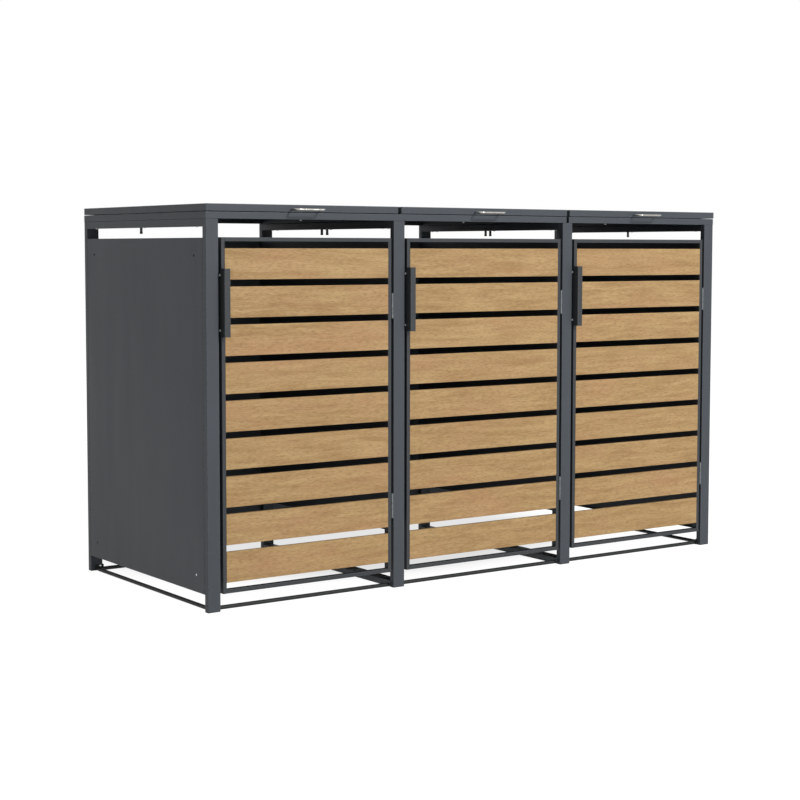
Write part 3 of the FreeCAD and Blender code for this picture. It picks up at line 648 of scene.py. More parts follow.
@dataclass(frozen=True)
class MouldedPlug(MouldedRubber):
    """The same dull black, as glass-filled nylon: the post glides and the plugs in tube ends.

    Nylon has a finer speckle and a little more sheen than rubber.
    """

    label: str = "black_nylon"
    colour: str = "#222325"
    patch: str = "#2E3033"
    fine_mm: float = 0.8
    roughness: float = 0.55


# One anthracite powder coat throughout, in copies of their own tone. The doors are darker than the
# frame.
# The floor bars are darker as painted shade, and the floor rails, rear sheets and studs lighter as
# painted light.
FRAME_COAT = PowderCoatedSteel()
DOOR_COAT = PowderCoatedSteel("powder_coated_door", film="#2F3235", film_cool="#323538",
                              rubbed="#46494D")
# The floor bars and foot tabs: a darker copy of the coat, painted shade for the shade they lie in
# under the doors.
BAR_COAT_PAINTED_SHADE = PowderCoatedSteel("floor_bar_coat_painted_shade", film="#1B1D1E", film_cool="#1F2122",
                             rubbed="#333536", roughness=0.6)
# The floor rails: a lighter copy of the coat, painted light on faces that lie in the store's
# shade.
RAIL_COAT_PAINTED_LIGHT = PowderCoatedSteel("floor_rail_coat_painted_light", film="#666B6F", film_cool="#6B7074",
                              rubbed="#7A7F83")
# The rear sheets: a lighter copy of the coat, painted light inside the shaded bays.
SHEET_COAT_PAINTED_LIGHT = PowderCoatedSteel("rear_sheet_coat_painted_light", film="#4A4F56", film_cool="#4E545B",
                               rubbed="#5E646A")
# The studs: a lighter copy of the coat, painted light where they hang in shade under the rails.
STUD_COAT_PAINTED_LIGHT = PowderCoatedSteel("stud_coat_painted_light", film="#66696C", film_cool="#6A6D70",
                              rubbed="#76797C", roughness=0.9, specular=0.0)


def cross_outline(arm: float, half_width: float) -> list[Point]:
    """The outline of a screwdriver cross, anticlockwise, sampled along its arms.

    Args:
        arm: the reach of each arm from the middle.
        half_width: of an arm.

    Returns:
        Points as across and up.
    """
    points: list[Point] = []
    for angle in turn_angles(4):
        local = [(arm, -half_width), (arm, 0), (arm, half_width),
                 ((arm + 2 * half_width) / 3, half_width), (half_width, half_width)]
        points += [(x * math.cos(angle) - y * math.sin(angle),
                    x * math.sin(angle) + y * math.cos(angle)) for x, y in local]
    return points


class Form:
    """A mesh under construction, in millimetres, with its rubbed faces marked."""

    def __init__(self) -> None:
        """Start empty, at the origin."""
        self.mesh = bmesh.new()
        self.rubbed = self.mesh.faces.layers.float.new("rubbed")
        self.matrix = Matrix.Identity(4)

    def at(self, matrix: Matrix) -> "Form":
        """Build what follows in a moved or turned place."""
        self.matrix = matrix
        return self

    def ring(self, points: list[Vector]) -> Row:
        """Add a row of vertices."""
        return [self.mesh.verts.new(self.matrix @ point) for point in points]

    def face(self, verts: Row, rubbed: float = 0.0) -> None:
        """Add one face, marked with how much it is rubbed."""
        self.mesh.faces.new(verts)[self.rubbed] = rubbed

    def band(self, lower: Row, upper: Row, marks: list[float] | float = 0.0) -> None:
        """Join two closed rows by four-sided faces.

        Args:
            lower: the first row.
            upper: the second, with as many vertices.
            marks: how much the faces are rubbed, for each or for all.
        """
        count = len(lower)
        marks = marks if isinstance(marks, list) else [marks] * count
        for index in range(count):
            after = (index + 1) % count
            self.face([lower[index], lower[after], upper[after], upper[index]], marks[index])

    def section(self, outline: Outline, run: Axis, level: float, inset: float = 0.0) -> Row:
        """A row of vertices along an outline that lies square to the run.

        Args:
            outline: across and up values in the two axes after the run, in turn.
            run: the axis that the section is pushed along.
            level: where the section stands on that axis.
            inset: how far each point is moved inward.

        Returns:
            The new vertices.
        """
        sharpest = 0.3  # holds the inset of a very sharp corner within reason
        points = []
        for index, (across, up, _arc) in enumerate(outline):
            here = Vector((across, up))
            if inset:
                back = here - Vector(outline[index - 1][:2])
                onward = Vector(outline[(index + 1) % len(outline)][:2]) - here
                inward = (Vector((-back.y, back.x)).normalized()
                          + Vector((-onward.y, onward.x)).normalized())
                here = here + inward * inset / max(inward.length_squared / 2, sharpest)
            point = Vector((0.0, 0.0, 0.0))
            point[run.value] = level
            point[(run.value + 1) % 3] = here.x
            point[(run.value + 2) % 3] = here.y
            points.append(point)
        return self.ring(points)

    def prism(self, outline: Outline, run: Axis, span: Point, ease: float) -> "Form":
        """Push an outline along an axis, with its end edges eased.

        Args:
            outline: the cross-section, in its place.
            run: the axis that it is pushed along.
            span: where it begins and ends on that axis.
            ease: the size of the bevel round both ends.

        Returns:
            This form.
        """
        low, high = span
        rows = [self.section(outline, run, low, ease), self.section(outline, run, low + ease),
                self.section(outline, run, high - ease), self.section(outline, run, high, ease)]
        for lower, upper, marks in zip(rows, rows[1:], (1.0, arc_marks(outline), 1.0)):
            self.band(lower, upper, marks)
        self.face(list(reversed(rows[0])))
        self.face(rows[-1])
        return self

    def tube(self, box: Box, run: Axis, wall: float, radius: float,
             closed: tuple[bool, bool] = (False, False), ease: float = 0.3) -> "Form":
        """A rectangular hollow section that fills a box.

        Args:
            box: its outside.
            run: the axis of its length.
            wall: the thickness of its walls.
            radius: the outer radius of its long edges.
            closed: whether its lower and upper ends have a welded plate.
            ease: the rounding of the cut ends.

        Returns:
            This form.
        """
        outer = box.outline(run, 0, radius)
        crown = box.outline(run, ease, radius - ease)
        bore = box.outline(run, wall, max(radius - wall, 0.4))
        low, high = box.span(run)
        crown_low = self.section(crown, run, low)
        skin_low = self.section(outer, run, low + ease)
        skin_high = self.section(outer, run, high - ease)
        crown_high = self.section(crown, run, high)
        self.band(crown_low, skin_low, 1.0)
        self.band(skin_low, skin_high, arc_marks(outer))
        self.band(skin_high, crown_high, 1.0)
        bore_low = self.section(bore, run, low + (wall if closed[0] else 0))
        bore_high = self.section(bore, run, high - (wall if closed[1] else 0))
        self.band(bore_high, bore_low)
        if closed[0]:
            self.face(list(reversed(crown_low)))
            self.face(bore_low)
        else:
            self.band(bore_low, crown_low)
        if closed[1]:
            self.face(crown_high)
            self.face(list(reversed(bore_high)))
        else:
            self.band(crown_high, bore_high)
        return self

    def turned(self, profile: list[Point], steps: int = 20, ring: bool = False) -> "Form":
        """Turn a profile of radius and height round this place's Z axis.

        Args:
            profile: from the lower middle outward and up to the upper middle, or a closed
                section for a ring.
            steps: facets round the axis.
            ring: whether the profile closes on itself instead of ending on the axis.

        Returns:
            This form.
        """
        angles = turn_angles(steps)
        rows = []
        for radius, height in profile:
            if radius > 0:
                rows.append(self.ring(circle(radius, height, angles)))
            else:
                rows.append(self.ring([Vector((0, 0, height))]) * steps)
        for lower, upper in list(zip(rows, rows[1:])) + ([(rows[-1], rows[0])] if ring else []):
            for index in range(steps):
                after = (index + 1) % steps
                quad = [lower[index], lower[after], upper[after], upper[index]]
                self.face(list(dict.fromkeys(quad)))
        return self

    def cross_head(self, arm: float, crown: float, rim: float, height: float,
                   depth: float) -> "Form":
        """The top of a screw head round a screwdriver cross, with its under side.

        Args:
            arm: the reach of the cross from the middle.
            crown: the radius at which the top begins to fall.
            rim: the radius of the head.
            height: of the head over its seat.
            depth: of the cross.

        Returns:
            This form.
        """
        blade, taper = 0.26, 0.62  # the arms' half width to their reach, and floor to mouth
        cross = cross_outline(arm, arm * blade)
        angles = [math.atan2(y, x) for x, y in cross]
        floor = self.ring([Vector((x * taper, y * taper, height - depth)) for x, y in cross])
        lip = self.ring([Vector((x, y, height)) for x, y in cross])
        rows = [floor, lip] + [self.ring(circle(radius, level, angles)) for radius, level in (
            (crown, height), (rim * 0.93, height * 0.72), (rim, height * 0.4), (rim, 0.0))]
        self.face(floor)
        for upper, lower in zip(rows, rows[1:]):
            self.band(lower, upper)
        self.face(list(reversed(rows[-1])))
        return self

    def swept(self, path: list[Vector], radius: float, steps: int = 16) -> "Form":
        """A round rod with closed ends.

        Args:
            path: points of its middle line, all in one plane.
            radius: of the rod.
            steps: facets round it.

        Returns:
            This form.
        """
        rows = []
        last = len(path) - 1
        normal = (path[-1] - path[0]).cross(path[len(path) // 2] - path[0]).normalized()
        for index, point in enumerate(path):
            ahead = (path[min(index + 1, last)] - path[max(index - 1, 0)]).normalized()
            side = ahead.cross(normal).normalized()
            rows.append(self.ring([point + radius * (math.cos(a) * side + math.sin(a) * normal)
                                   for a in turn_angles(steps)]))
        for lower, upper in zip(rows, rows[1:]):
            self.band(lower, upper)
        self.face(list(reversed(rows[0])))
        self.face(rows[-1])
        return self

    def piece(self, name: str, finish: Finish, *nodes: str, body: str = "frame",
              smooth_below: float = 50.0) -> bpy.types.Object:
        """Turn the mesh into a Blender object that stands for its CAD nodes.

        Args:
            name: the object's name.
            finish: its finish.
            nodes: the CAD nodes that it replaces.
            body: the CAD body that it rides on.
            smooth_below: the angle in degrees under which neighbouring faces blend.

        Returns:
            The new object.
        """
        bmesh.ops.recalc_face_normals(self.mesh, faces=self.mesh.faces)
        bmesh.ops.scale(self.mesh, vec=(MM, MM, MM), verts=self.mesh.verts)
        data = bpy.data.meshes.new(name)
        self.mesh.to_mesh(data)
        self.mesh.free()
        data.shade_smooth()
        data.set_sharp_from_angle(angle=math.radians(smooth_below))
        data.materials.append(finish.material())
        made = show(name, data)
        made.modifiers.new("even_shading", "WEIGHTED_NORMAL").keep_sharp = True
        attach(made, body)
        if nodes:
            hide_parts(*nodes)
        log.info("%s: %d faces on %s", name, len(data.polygons), body)
        return made


def thicken(piece: bpy.types.Object, metal: float) -> None:
    """Give an open shell the thickness of its sheet metal, inward from its outer faces.

    Args:
        piece: the shell, whose shading modifier stays last.
        metal: the thickness in millimetres.
    """
    shell = piece.modifiers.new("sheet_metal", "SOLIDIFY")
    shell.thickness = metal * MM
    shell.offset = -1.0
    shell.use_even_offset = True
    with bpy.context.temp_override(object=piece):
        bpy.ops.object.modifier_move_to_index(modifier=shell.name, index=0)


@dataclass
class FrameTubes:
    """The welded steel frame: posts, top rails, cross rails and floor ties."""

    wall: float = 1.5
    edge_radius: float = 2.0
    side_rail_width: float = 20.0
    post_face: float = 40.0
    bar_bend: float = 12.0
    bar_bend_steps: int = 8
    bar_steps: int = 20
    tab_metal: float = 2.0
    tab_width: float = 29.0
    tab_corners: tuple[float, ...] = (0.6, 4.0, 4.0, 0.6)  # nearly square at the foot
    plug_depth: float = 1.2
    plug_recess: float = 0.2
    plug_play: float = 0.1
    glide_height: float = 2.5

    def plug(self, form: Form, box: Box, run: Axis, at_high: bool) -> None:
        """A nylon plug just inside the open end of a tube.

        Args:
            form: the mesh that it is added to.
            box: the tube's outside.
            run: the axis of the tube's length.
            at_high: whether it closes the tube's upper end.
        """
        low, high = box.span(run)
        spans = (low + self.plug_recess, low + self.plug_depth)
        if at_high:
            spans = (high - self.plug_depth, high - self.plug_recess)
        form.prism(box.outline(run, inset=self.wall + self.plug_play, radius=0.8), run, spans,
                   ease=0.2)

    def posts(self) -> None:
        """Eight posts, each on a nylon glide that covers its foot."""
        glides = Form()
        for row, number in product(("front", "rear"), range(1, 5)):
            node = f"{row}_post_{number}"
            box = Box.of_node(node)
            foot = box.low.z + self.glide_height
            above = Box.spanning(box.span(Axis.X), box.span(Axis.Y), (foot, box.high.z))
            Form().tube(above, Axis.Z, self.wall, self.edge_radius).piece(
                f"{node}_tube", FRAME_COAT, node)
            glides.prism(box.outline(Axis.Z, inset=0.2, radius=self.edge_radius), Axis.Z,
                         (box.low.z, foot), ease=0.5)
        glides.piece("post_foot_glides", MouldedPlug())

    def top_rails(self) -> None:
        """Front and rear rails with a welded outer end and a plug at the joint gap."""
        plugs = Form()
        for row in ("front", "rear"):
            for part, closed in (("long", (True, False)), ("short", (False, True))):
                node = f"{row}_top_rail_{part}"
                box = Box.of_node(node)
                Form().tube(box, Axis.X, self.wall, self.edge_radius, closed).piece(
                    f"{node}_tube", FRAME_COAT, node)
                self.plug(plugs, box, Axis.X, part == "long")
        plugs.piece("rail_joint_plugs", MouldedPlug())

    def rails(self) -> None:
        """Top rails, cross rails and floor rails that run from front to rear."""
        left, right = Box.of_node("side_top_rails").span(Axis.X)
        width, whole, half = self.side_rail_width, self.post_face, self.post_face / 2
        partitions = Box.of_node("partition_top_rails")
        inner = (partitions.low.x, partitions.high.x - whole)
        side = [(left, left + width), (right - width, right)]
        full = [(x, x + whole) for x in inner]
        pairs = [(x + step, x + step + half) for x in inner for step in (0, half)]
        for node, spans, coat in (("side_top_rails", side, FRAME_COAT),
                                  ("side_cross_rails", side, FRAME_COAT),
                                  ("partition_top_rails", full, FRAME_COAT),
                                  ("partition_cross_rails", pairs, FRAME_COAT),
                                  ("partition_floor_rails", full, RAIL_COAT_PAINTED_LIGHT)):
            box = Box.of_node(node)
            form = Form()
            for span in spans:
                form.tube(Box.spanning(span, box.span(Axis.Y), box.span(Axis.Z)), Axis.Y,
                          self.wall, self.edge_radius)
            form.piece(f"{node}_tubes", coat, node)

    def floor_bars(self) -> None:
        """A round bar bent round each side, and two straight ones in the middle bay."""
        box = Box.of_node("floor_bars")
        partition = Box.of_node("partition_floor_rails")
        radius, bend = box.size.z / 2, self.bar_bend
        front, rear = box.low.y + radius, box.high.y - radius
        form = Form()
        for end_x, side_x in ((partition.low.x, box.low.x + radius),
                              (partition.high.x, box.high.x - radius)):
            way = 1 if side_x < end_x else -1
            path = [Vector((end_x, front, radius))]
            for middle_y, start in ((front + bend, -90), (rear - bend, 180)):
                for step in range(self.bar_bend_steps + 1):
                    angle = math.radians(start - 90 * step / self.bar_bend_steps)
                    path.append(Vector((side_x + way * bend * (1 + math.cos(angle)),
                                        middle_y + bend * math.sin(angle), radius)))
            path.append(Vector((end_x, rear, radius)))
            form.swept(path, radius, self.bar_steps)
        middle = (partition.low.x + self.post_face, partition.high.x - self.post_face)
        round_bar = [(radius * math.cos(a), radius * math.sin(a), False)
                     for a in turn_angles(self.bar_steps)]
        for y in (front, rear):
            form.prism(moved(round_bar, y, radius), Axis.X, middle, ease=0.2)
        form.piece("floor_bars_bent_rods", BAR_COAT_PAINTED_SHADE, "floor_bars")

    def tabs(self) -> None:
        """Upright plates at the corners of the floor bars, screwed to the end posts."""
        box = Box.of_node("foot_tabs")
        # The run is Y, so the outline is given as up and across.
        plate = rounded_outline(rectangle(box.high.z, self.tab_width), list(self.tab_corners))
        form = Form()
        for x in (box.low.x, box.high.x - self.tab_width):
            for y in (box.low.y, box.high.y - self.tab_metal):
                form.prism(moved(plate, 0, x), Axis.Y, (y, y + self.tab_metal), ease=0.3)
        form.piece("foot_tab_plates", BAR_COAT_PAINTED_SHADE, "foot_tabs")

    def build(self) -> None:
        """Build every tube and tab."""
        self.posts()
        self.top_rails()
        self.rails()
        self.floor_bars()
        self.tabs()


@dataclass
class SheetPanels:
    """Folded sheet steel panels: two sides, two partitions and three rear ones."""

    metal: float = 1.2
    fold_radius: float = 2.0
    fold_steps: int = 4
    hole_radius: float = 3.5
    hole_inset: float = 50.0
    hole_steps: int = 24

    def holes(self, box: Box, level: float) -> list[list[Vector]]:
        """The rims of the four fixing holes of a side sheet.

        Args:
            box: the sheet's outside.
            level: the X of its outer face.

        Returns:
            The points round each hole.
        """
        inset, radius = self.hole_inset, self.hole_radius
        centres = [Vector((level, y, z)) for y in (box.low.y + inset, box.high.y - inset)
                   for z in (box.low.z + inset, box.high.z - inset)]
        return [[Vector((level, centre.y + radius * math.cos(a), centre.z + radius * math.sin(a)))
                 for a in turn_angles(self.hole_steps)] for centre in centres]

    def panel(self, node: str, mouth: Face, coat: Finish = FRAME_COAT,
              drilled: bool = False) -> None:
        """One sheet with rounded folds and four returned edges.

        Args:
            node: the CAD node that it replaces, whose box it fills.
            mouth: the side that the returned edges open to.
            coat: its finish.
            drilled: whether it has the four fixing holes.
        """
        box = Box.of_node(node)
        run, way = mouth.value
        face_level, mouth_level = box.span(run) if way > 0 else reversed(box.span(run))
        form = Form()
        rows = []
        for inset, drop in quarter_bend(self.fold_radius, self.fold_steps):
            outline = box.outline(run, inset, max(self.fold_radius - inset, 0.3))
            rows.append(form.section(outline, run, face_level + way * drop))
        base = box.outline(run, 0, self.fold_radius)
        form.band(form.section(base, run, mouth_level), rows[0], arc_marks(base))
        for lower, upper in zip(rows, rows[1:]):
            form.band(lower, upper, 1.0)
        loops = [rows[-1]]
        if drilled:
            loops += [form.ring(rim) for rim in self.holes(box, face_level)]
            flat = [vert for loop in loops for vert in loop]
            for triangle in tessellate_polygon([[vert.co for vert in loop] for loop in loops]):
                form.face([flat[index] for index in triangle])
        else:
            form.face(rows[-1])
        thicken(form.piece(f"{node}_panel", coat, node), self.metal)

    def build(self) -> None:
        """Build all seven sheets."""
        self.panel("side_sheet_left", Face.TO_RIGHT, drilled=True)
        self.panel("side_sheet_right", Face.TO_LEFT, drilled=True)
        for side in ("left", "right"):
            self.panel(f"partition_sheet_{side}", Face.TO_RIGHT)
        for bay in BAYS:
            self.panel(f"rear_sheet_{bay}", Face.TO_REAR, SHEET_COAT_PAINTED_LIGHT)


@dataclass(frozen=True)
class Screw:
    """A pan-head machine screw with a cross recess."""

    head_radius: float = 3.5
    head_height: float = 1.6
    shank_radius: float = 2.0
    shank_length: float = 6.5
    steps: int = 12

    def drive(self, form: Form, seat: Vector, way: Vector, scale: float = 1.0) -> None:
        """Add one screw.

        Args:
            form: the mesh that it is added to.
            seat: the point that its head stands on.
            way: the way that its head points.
            scale: how much larger its head is than usual.
        """
        form.at(Matrix.Translation(seat) @ facing(way))
        radius, height = self.head_radius * scale, self.head_height * scale
        form.cross_head(radius * 0.55, radius * 0.72, radius, height, height * 0.55)
        shank, length = self.shank_radius, self.shank_length
        form.turned([(0, -length), (shank * 0.8, -length), (shank, 1 - length), (shank, 0.1),
                     (0, 0.1)], self.steps)


@dataclass
class Fasteners:
    """Screws, bolts and hanging studs of the frame."""

    tubes: FrameTubes = field(default_factory=FrameTubes)
    screw: Screw = Screw()
    bolt_scale: float = 10 / 7  # an M6 head over an M4 one
    screw_level: float = 14.5
    screw_inset: float = 12.0
    rail_screw_inset: float = 51.0
    rail_screw_before_middle: float = 3.0
    rail_bolt_behind_middle: float = 129.0
    stud_radius: float = 4.2
    thread_pitch: float = 1.25
    thread_depth: float = 0.25
    thread_start: float = 0.3
    flange_radius: float = 6.5
    flange_height: float = 5.0
    cap_nose: tuple[Point, ...] = ((2.9, 0.0), (3.9, 0.25), (4.4, 0.9), (4.6, 1.6))
    cap_bore: float = 3.87
    cap_skin: float = 1.5

    def seats(self) -> list[tuple[Vector, Vector, float]]:
        """Where every screw and bolt of the frame sits.

        Returns:
            For each, its seat, the way that its head points, and its scale.
        """
        tabs, metal = Box.of_node("foot_tabs"), self.tubes.tab_metal
        from_edge = self.tubes.tab_width - self.screw_inset
        found = []
        for x in (tabs.low.x + from_edge, tabs.high.x - from_edge):
            for y, way in ((tabs.low.y + metal, 1), (tabs.high.y - metal, -1)):
                found.append((Vector((x, y, self.screw_level)), Vector((0, way, 0)), 1.0))
        cross = Box.of_node("side_cross_rails")
        for x in self.rail_middles():
            for y in (cross.low.y + self.rail_screw_inset,
                      cross.middle.y - self.rail_screw_before_middle,
                      cross.high.y - self.rail_screw_inset):
                found.append((Vector((x, y, cross.low.z)), Vector((0, 0, -1)), 1.0))
        top, face = Box.of_node("partition_top_rails"), self.tubes.post_face
        side = Box.of_node("side_top_rails")
        for x in (top.low.x, top.high.x - face, side.high.x - face / 2):
            seat = Vector((x, top.middle.y + self.rail_bolt_behind_middle, top.middle.z))
            found.append((seat, Vector((-1, 0, 0)), self.bolt_scale))
        return found

    def rail_middles(self) -> list[float]:
        """Where the cross rails lie.

        Returns:
            The X of the middle of each, from left to right.
        """
        side = Box.of_node("side_cross_rails")
        partition = Box.of_node("partition_cross_rails")
        quarter = self.tubes.post_face / 4
        return [side.low.x + quarter, partition.low.x + quarter, partition.low.x + 3 * quarter,
                partition.high.x - 3 * quarter, partition.high.x - quarter, side.high.x - quarter]

    def stud_profile(self, height: float) -> list[Point]:
        """Half a threaded stud that ends in a round flange, as radius and height.

        Args:
            height: of the whole stud.

        Returns:
            The profile, from the lower middle to the upper one.
        """
        radius, pitch, flange = self.stud_radius, self.thread_pitch, self.flange_radius
        thread = []
        for turn in range(int((height - self.flange_height - 1) / pitch)):
            level = turn * pitch + self.thread_start
            thread += [(radius - self.thread_depth, level), (radius, level + pitch * 0.4),
                       (radius, level + pitch * 0.6)]
        seat = height - self.flange_height
        return [(0, 0), (radius - 0.8, 0), *thread, (radius, seat), (flange - 0.2, seat),
                (flange, seat + 0.4), (flange, height - 0.8), (flange - 0.7, height), (0, height)]

    def cap_profile(self, height: float) -> list[Point]:
        """Half a rubber cap with a rounded lower end and an open top, as radius and height.

        Args:
            height: of the whole cap.

        Returns:
            The profile, from the lower middle round to the floor of the bore.
        """
        radius, bore, skin = self.cap_nose[-1][0], self.cap_bore, self.cap_skin
        return [(0, 0), *self.cap_nose, (radius, height - 0.4), (4.3, height), (4.0, height),
                (bore, height - 0.3), (bore, skin), (0, skin)]

    def studs(self) -> None:
        """Threaded studs that hang through the cross rails, each with a rubber cap."""
        for node, piece, finish, profile, angle in (
                ("tie_studs", "tie_stud_threads", STUD_COAT_PAINTED_LIGHT, self.stud_profile, 30.0),
                ("tie_stud_caps", "tie_stud_rubber_caps", MouldedRubber(), self.cap_profile,
                 50.0)):
            box = Box.of_node(node)
            form = Form()
            for x in self.rail_middles():
                form.at(spot(x, box.middle.y, box.low.z)).turned(profile(box.size.z))
            form.piece(piece, finish, node, smooth_below=angle)

    def build(self) -> None:
        """Build the screws, the bolts and the studs."""
        form = Form()
        for seat, way, scale in self.seats():
            self.screw.drive(form, seat, way, scale)
        form.piece("frame_cross_head_screws", ZincPlatedSteel(), "frame_screws",
                   smooth_below=CRISP)
        self.studs()


@dataclass
class Hinge:
    """A butt hinge of two pressed leaves with rolled knuckles round a riveted pin."""

    height: float = 75.0
    knuckles: int = 5
    knuckle_radius: float = 3.75
    knuckle_gap: float = 0.4
    knuckle_ease: float = 0.45
    pin_radius: float = 2.0
    pin_play: float = 0.05
    pin_head: float = 1.2
    metal: float = 2.0
    corner: float = 3.0
    root: float = 0.4  # the radius of the corners beside the knuckles
    screw_levels: tuple[float, ...] = (12.0, 37.5, 63.0)
    screw_radius: float = 3.4
    steps: int = 24

    def leaf(self, form: Form, place: Matrix, side: int, seat: float, reach: float,
             first: int) -> None:
        """One leaf round a pin that stands on the place's origin along its Z.

        Args:
            form: the mesh that it is added to.
            place: where the hinge stands.
            side: -1 or 1, the side of the pin that the leaf lies on.
            seat: the distance from the pin's axis to the leaf's outer face.
            reach: how far the leaf runs along Y.
            first: the lowest knuckle that it holds; it holds every second one.
        """
        form.at(place)
        clear = self.knuckle_radius + self.knuckle_gap
        inner_face = side * (seat - self.metal)
        metal = (min(side * seat, inner_face), max(side * seat, inner_face))
        plate = rounded_outline([(clear, 0), (reach, 0), (reach, self.height),
                                 (clear, self.height)],
                                [self.root, self.corner, self.corner, self.root])
        form.prism(plate, Axis.X, metal, ease=0.25)
        pitch = self.height / self.knuckles
        bore, outside = self.pin_radius + self.pin_play, self.knuckle_radius
        ease = self.knuckle_ease
        for number in range(first, self.knuckles, 2):
            low = number * pitch + self.knuckle_gap / 2
            high = low + pitch - self.knuckle_gap
            form.turned([(bore, low), (outside - ease, low), (outside, low + ease),
                         (outside, high - ease), (outside - ease, high), (bore, high)],
                        self.steps, True)
            strap = rounded_outline([(0.8, low + 0.3), (clear + 1, low + 0.3),
                                     (clear + 1, high - 0.3), (0.8, high - 0.3)], 0.3, 2)
            form.prism(strap, Axis.X, metal, ease=0.2)
        radius = self.screw_radius
        for level in self.screw_levels:
            form.at(place @ spot(inner_face, (clear + reach) / 2 + 0.5, level)
                    @ facing(Vector((-side, 0, 0))))
            form.cross_head(radius * 0.5, radius * 0.86, radius, 0.35, 0.3)

    def pin(self, form: Form, place: Matrix) -> None:
        """The pin, riveted over at both ends.

        Args:
            form: the mesh that it is added to.
            place: where the hinge stands.
        """
        head, radius, top, rise = self.knuckle_radius, self.pin_radius, self.height, self.pin_head
        dome = [(head, 0), (head, 0.1), (head * 0.85, 0.75), (head * 0.55, 1.15), (0, rise)]
        form.at(place).turned(
            [(r, -z) for r, z in reversed(dome)] + [(radius, 0), (radius, top)]
            + [(r, top + z) for r, z in dome], self.steps)


@dataclass
class HingeSet:
    """Every hinge of the store: two on each door and two on each lid."""

    hinge: Hinge = field(default_factory=Hinge)
    stand_off: float = 0.75
    door_gap: float = 8.7
    door_inset: float = 202.0
    door_leaf_depth: float = 16.0
    pin_set_back: float = 1.5
    lid_inset: float = 120.0
    lid_leaf_depth: float = 18.0
    lid_rest_gap: float = 1.5

    def door_places(self, bay: str) -> list[Matrix]:
        """Where the hinges of a door stand.

        Args:
            bay: the door's bay.

        Returns:
            The foot of each hinge, on its axis.
        """
        door, inset = Box.of_node(f"door_{bay}_frame"), self.door_inset
        x, y = door.high.x + self.door_gap / 2, door.low.y + self.pin_set_back
        return [spot(x, y, middle - self.hinge.height / 2)
                for middle in (door.low.z + inset, door.high.z - inset)]

    def lid_places(self, bay: str) -> list[Matrix]:
        """Where the hinges of a lid lie.

        Args:
            bay: the lid's bay.

        Returns:
            The left end of each hinge, on its axis.
        """
        pan, inset = Box.of_node(f"lid_{bay}_pan"), self.lid_inset
        y = pan.high.y + self.stand_off + self.hinge.knuckle_radius
        z = pan.low.z - self.lid_rest_gap / 2
        return [spot(middle - self.hinge.height / 2, y, z)
                for middle in (pan.low.x + inset, pan.high.x - inset)]

    def build(self) -> None:
        """Build the leaves on the frame, on the doors and on the lids, and the pins."""
        # Up the hinge is along X here: the leaf on the lid runs up, the one on the rail down.
        lid_turn = Matrix(((0, 0, 1, 0), (1, 0, 0, 0), (0, 1, 0, 0), (0, 0, 0, 1)))
        rail_turn = Matrix(((0, 0, 1, 0), (-1, 0, 0, 0), (0, -1, 0, 0), (0, 0, 0, 1)))
        on_door = (self.door_gap / 2, self.door_leaf_depth)
        on_lid = (self.stand_off + self.hinge.knuckle_radius, self.lid_leaf_depth)
        # The hinges are zinc in a darker copy, whose mid grey is painted shade.
        posts, rails, pins, hinge_zinc_painted_shade = Form(), Form(), Form(), ZincPaintedShade()
        for bay in BAYS:
            doors, lids = Form(), Form()
            for place in self.door_places(bay):
                self.hinge.leaf(posts, place, 1, *on_door, 0)
                self.hinge.leaf(doors, place, -1, *on_door, 1)
                self.hinge.pin(pins, place)
            for place in self.lid_places(bay):
                self.hinge.leaf(rails, place @ rail_turn, 1, *on_lid, 0)
                self.hinge.leaf(lids, place @ lid_turn, -1, *on_lid, 1)
                self.hinge.pin(pins, place @ lid_turn)
            for form, body in ((doors, f"door_{bay}"), (lids, f"lid_{bay}")):
                form.piece(f"{body}_hinge_wings", hinge_zinc_painted_shade, f"{body}_hinge_leaves", body=body,
                           smooth_below=CRISP)
        for form, name, node in ((posts, "door_hinge_post_wings", "door_hinge_post_leaves"),
                                 (rails, "lid_hinge_rail_wings", "lid_hinge_rail_leaves"),
                                 (pins, "hinge_riveted_pins", "hinge_pins")):
            form.piece(name, hinge_zinc_painted_shade, node, smooth_below=CRISP)


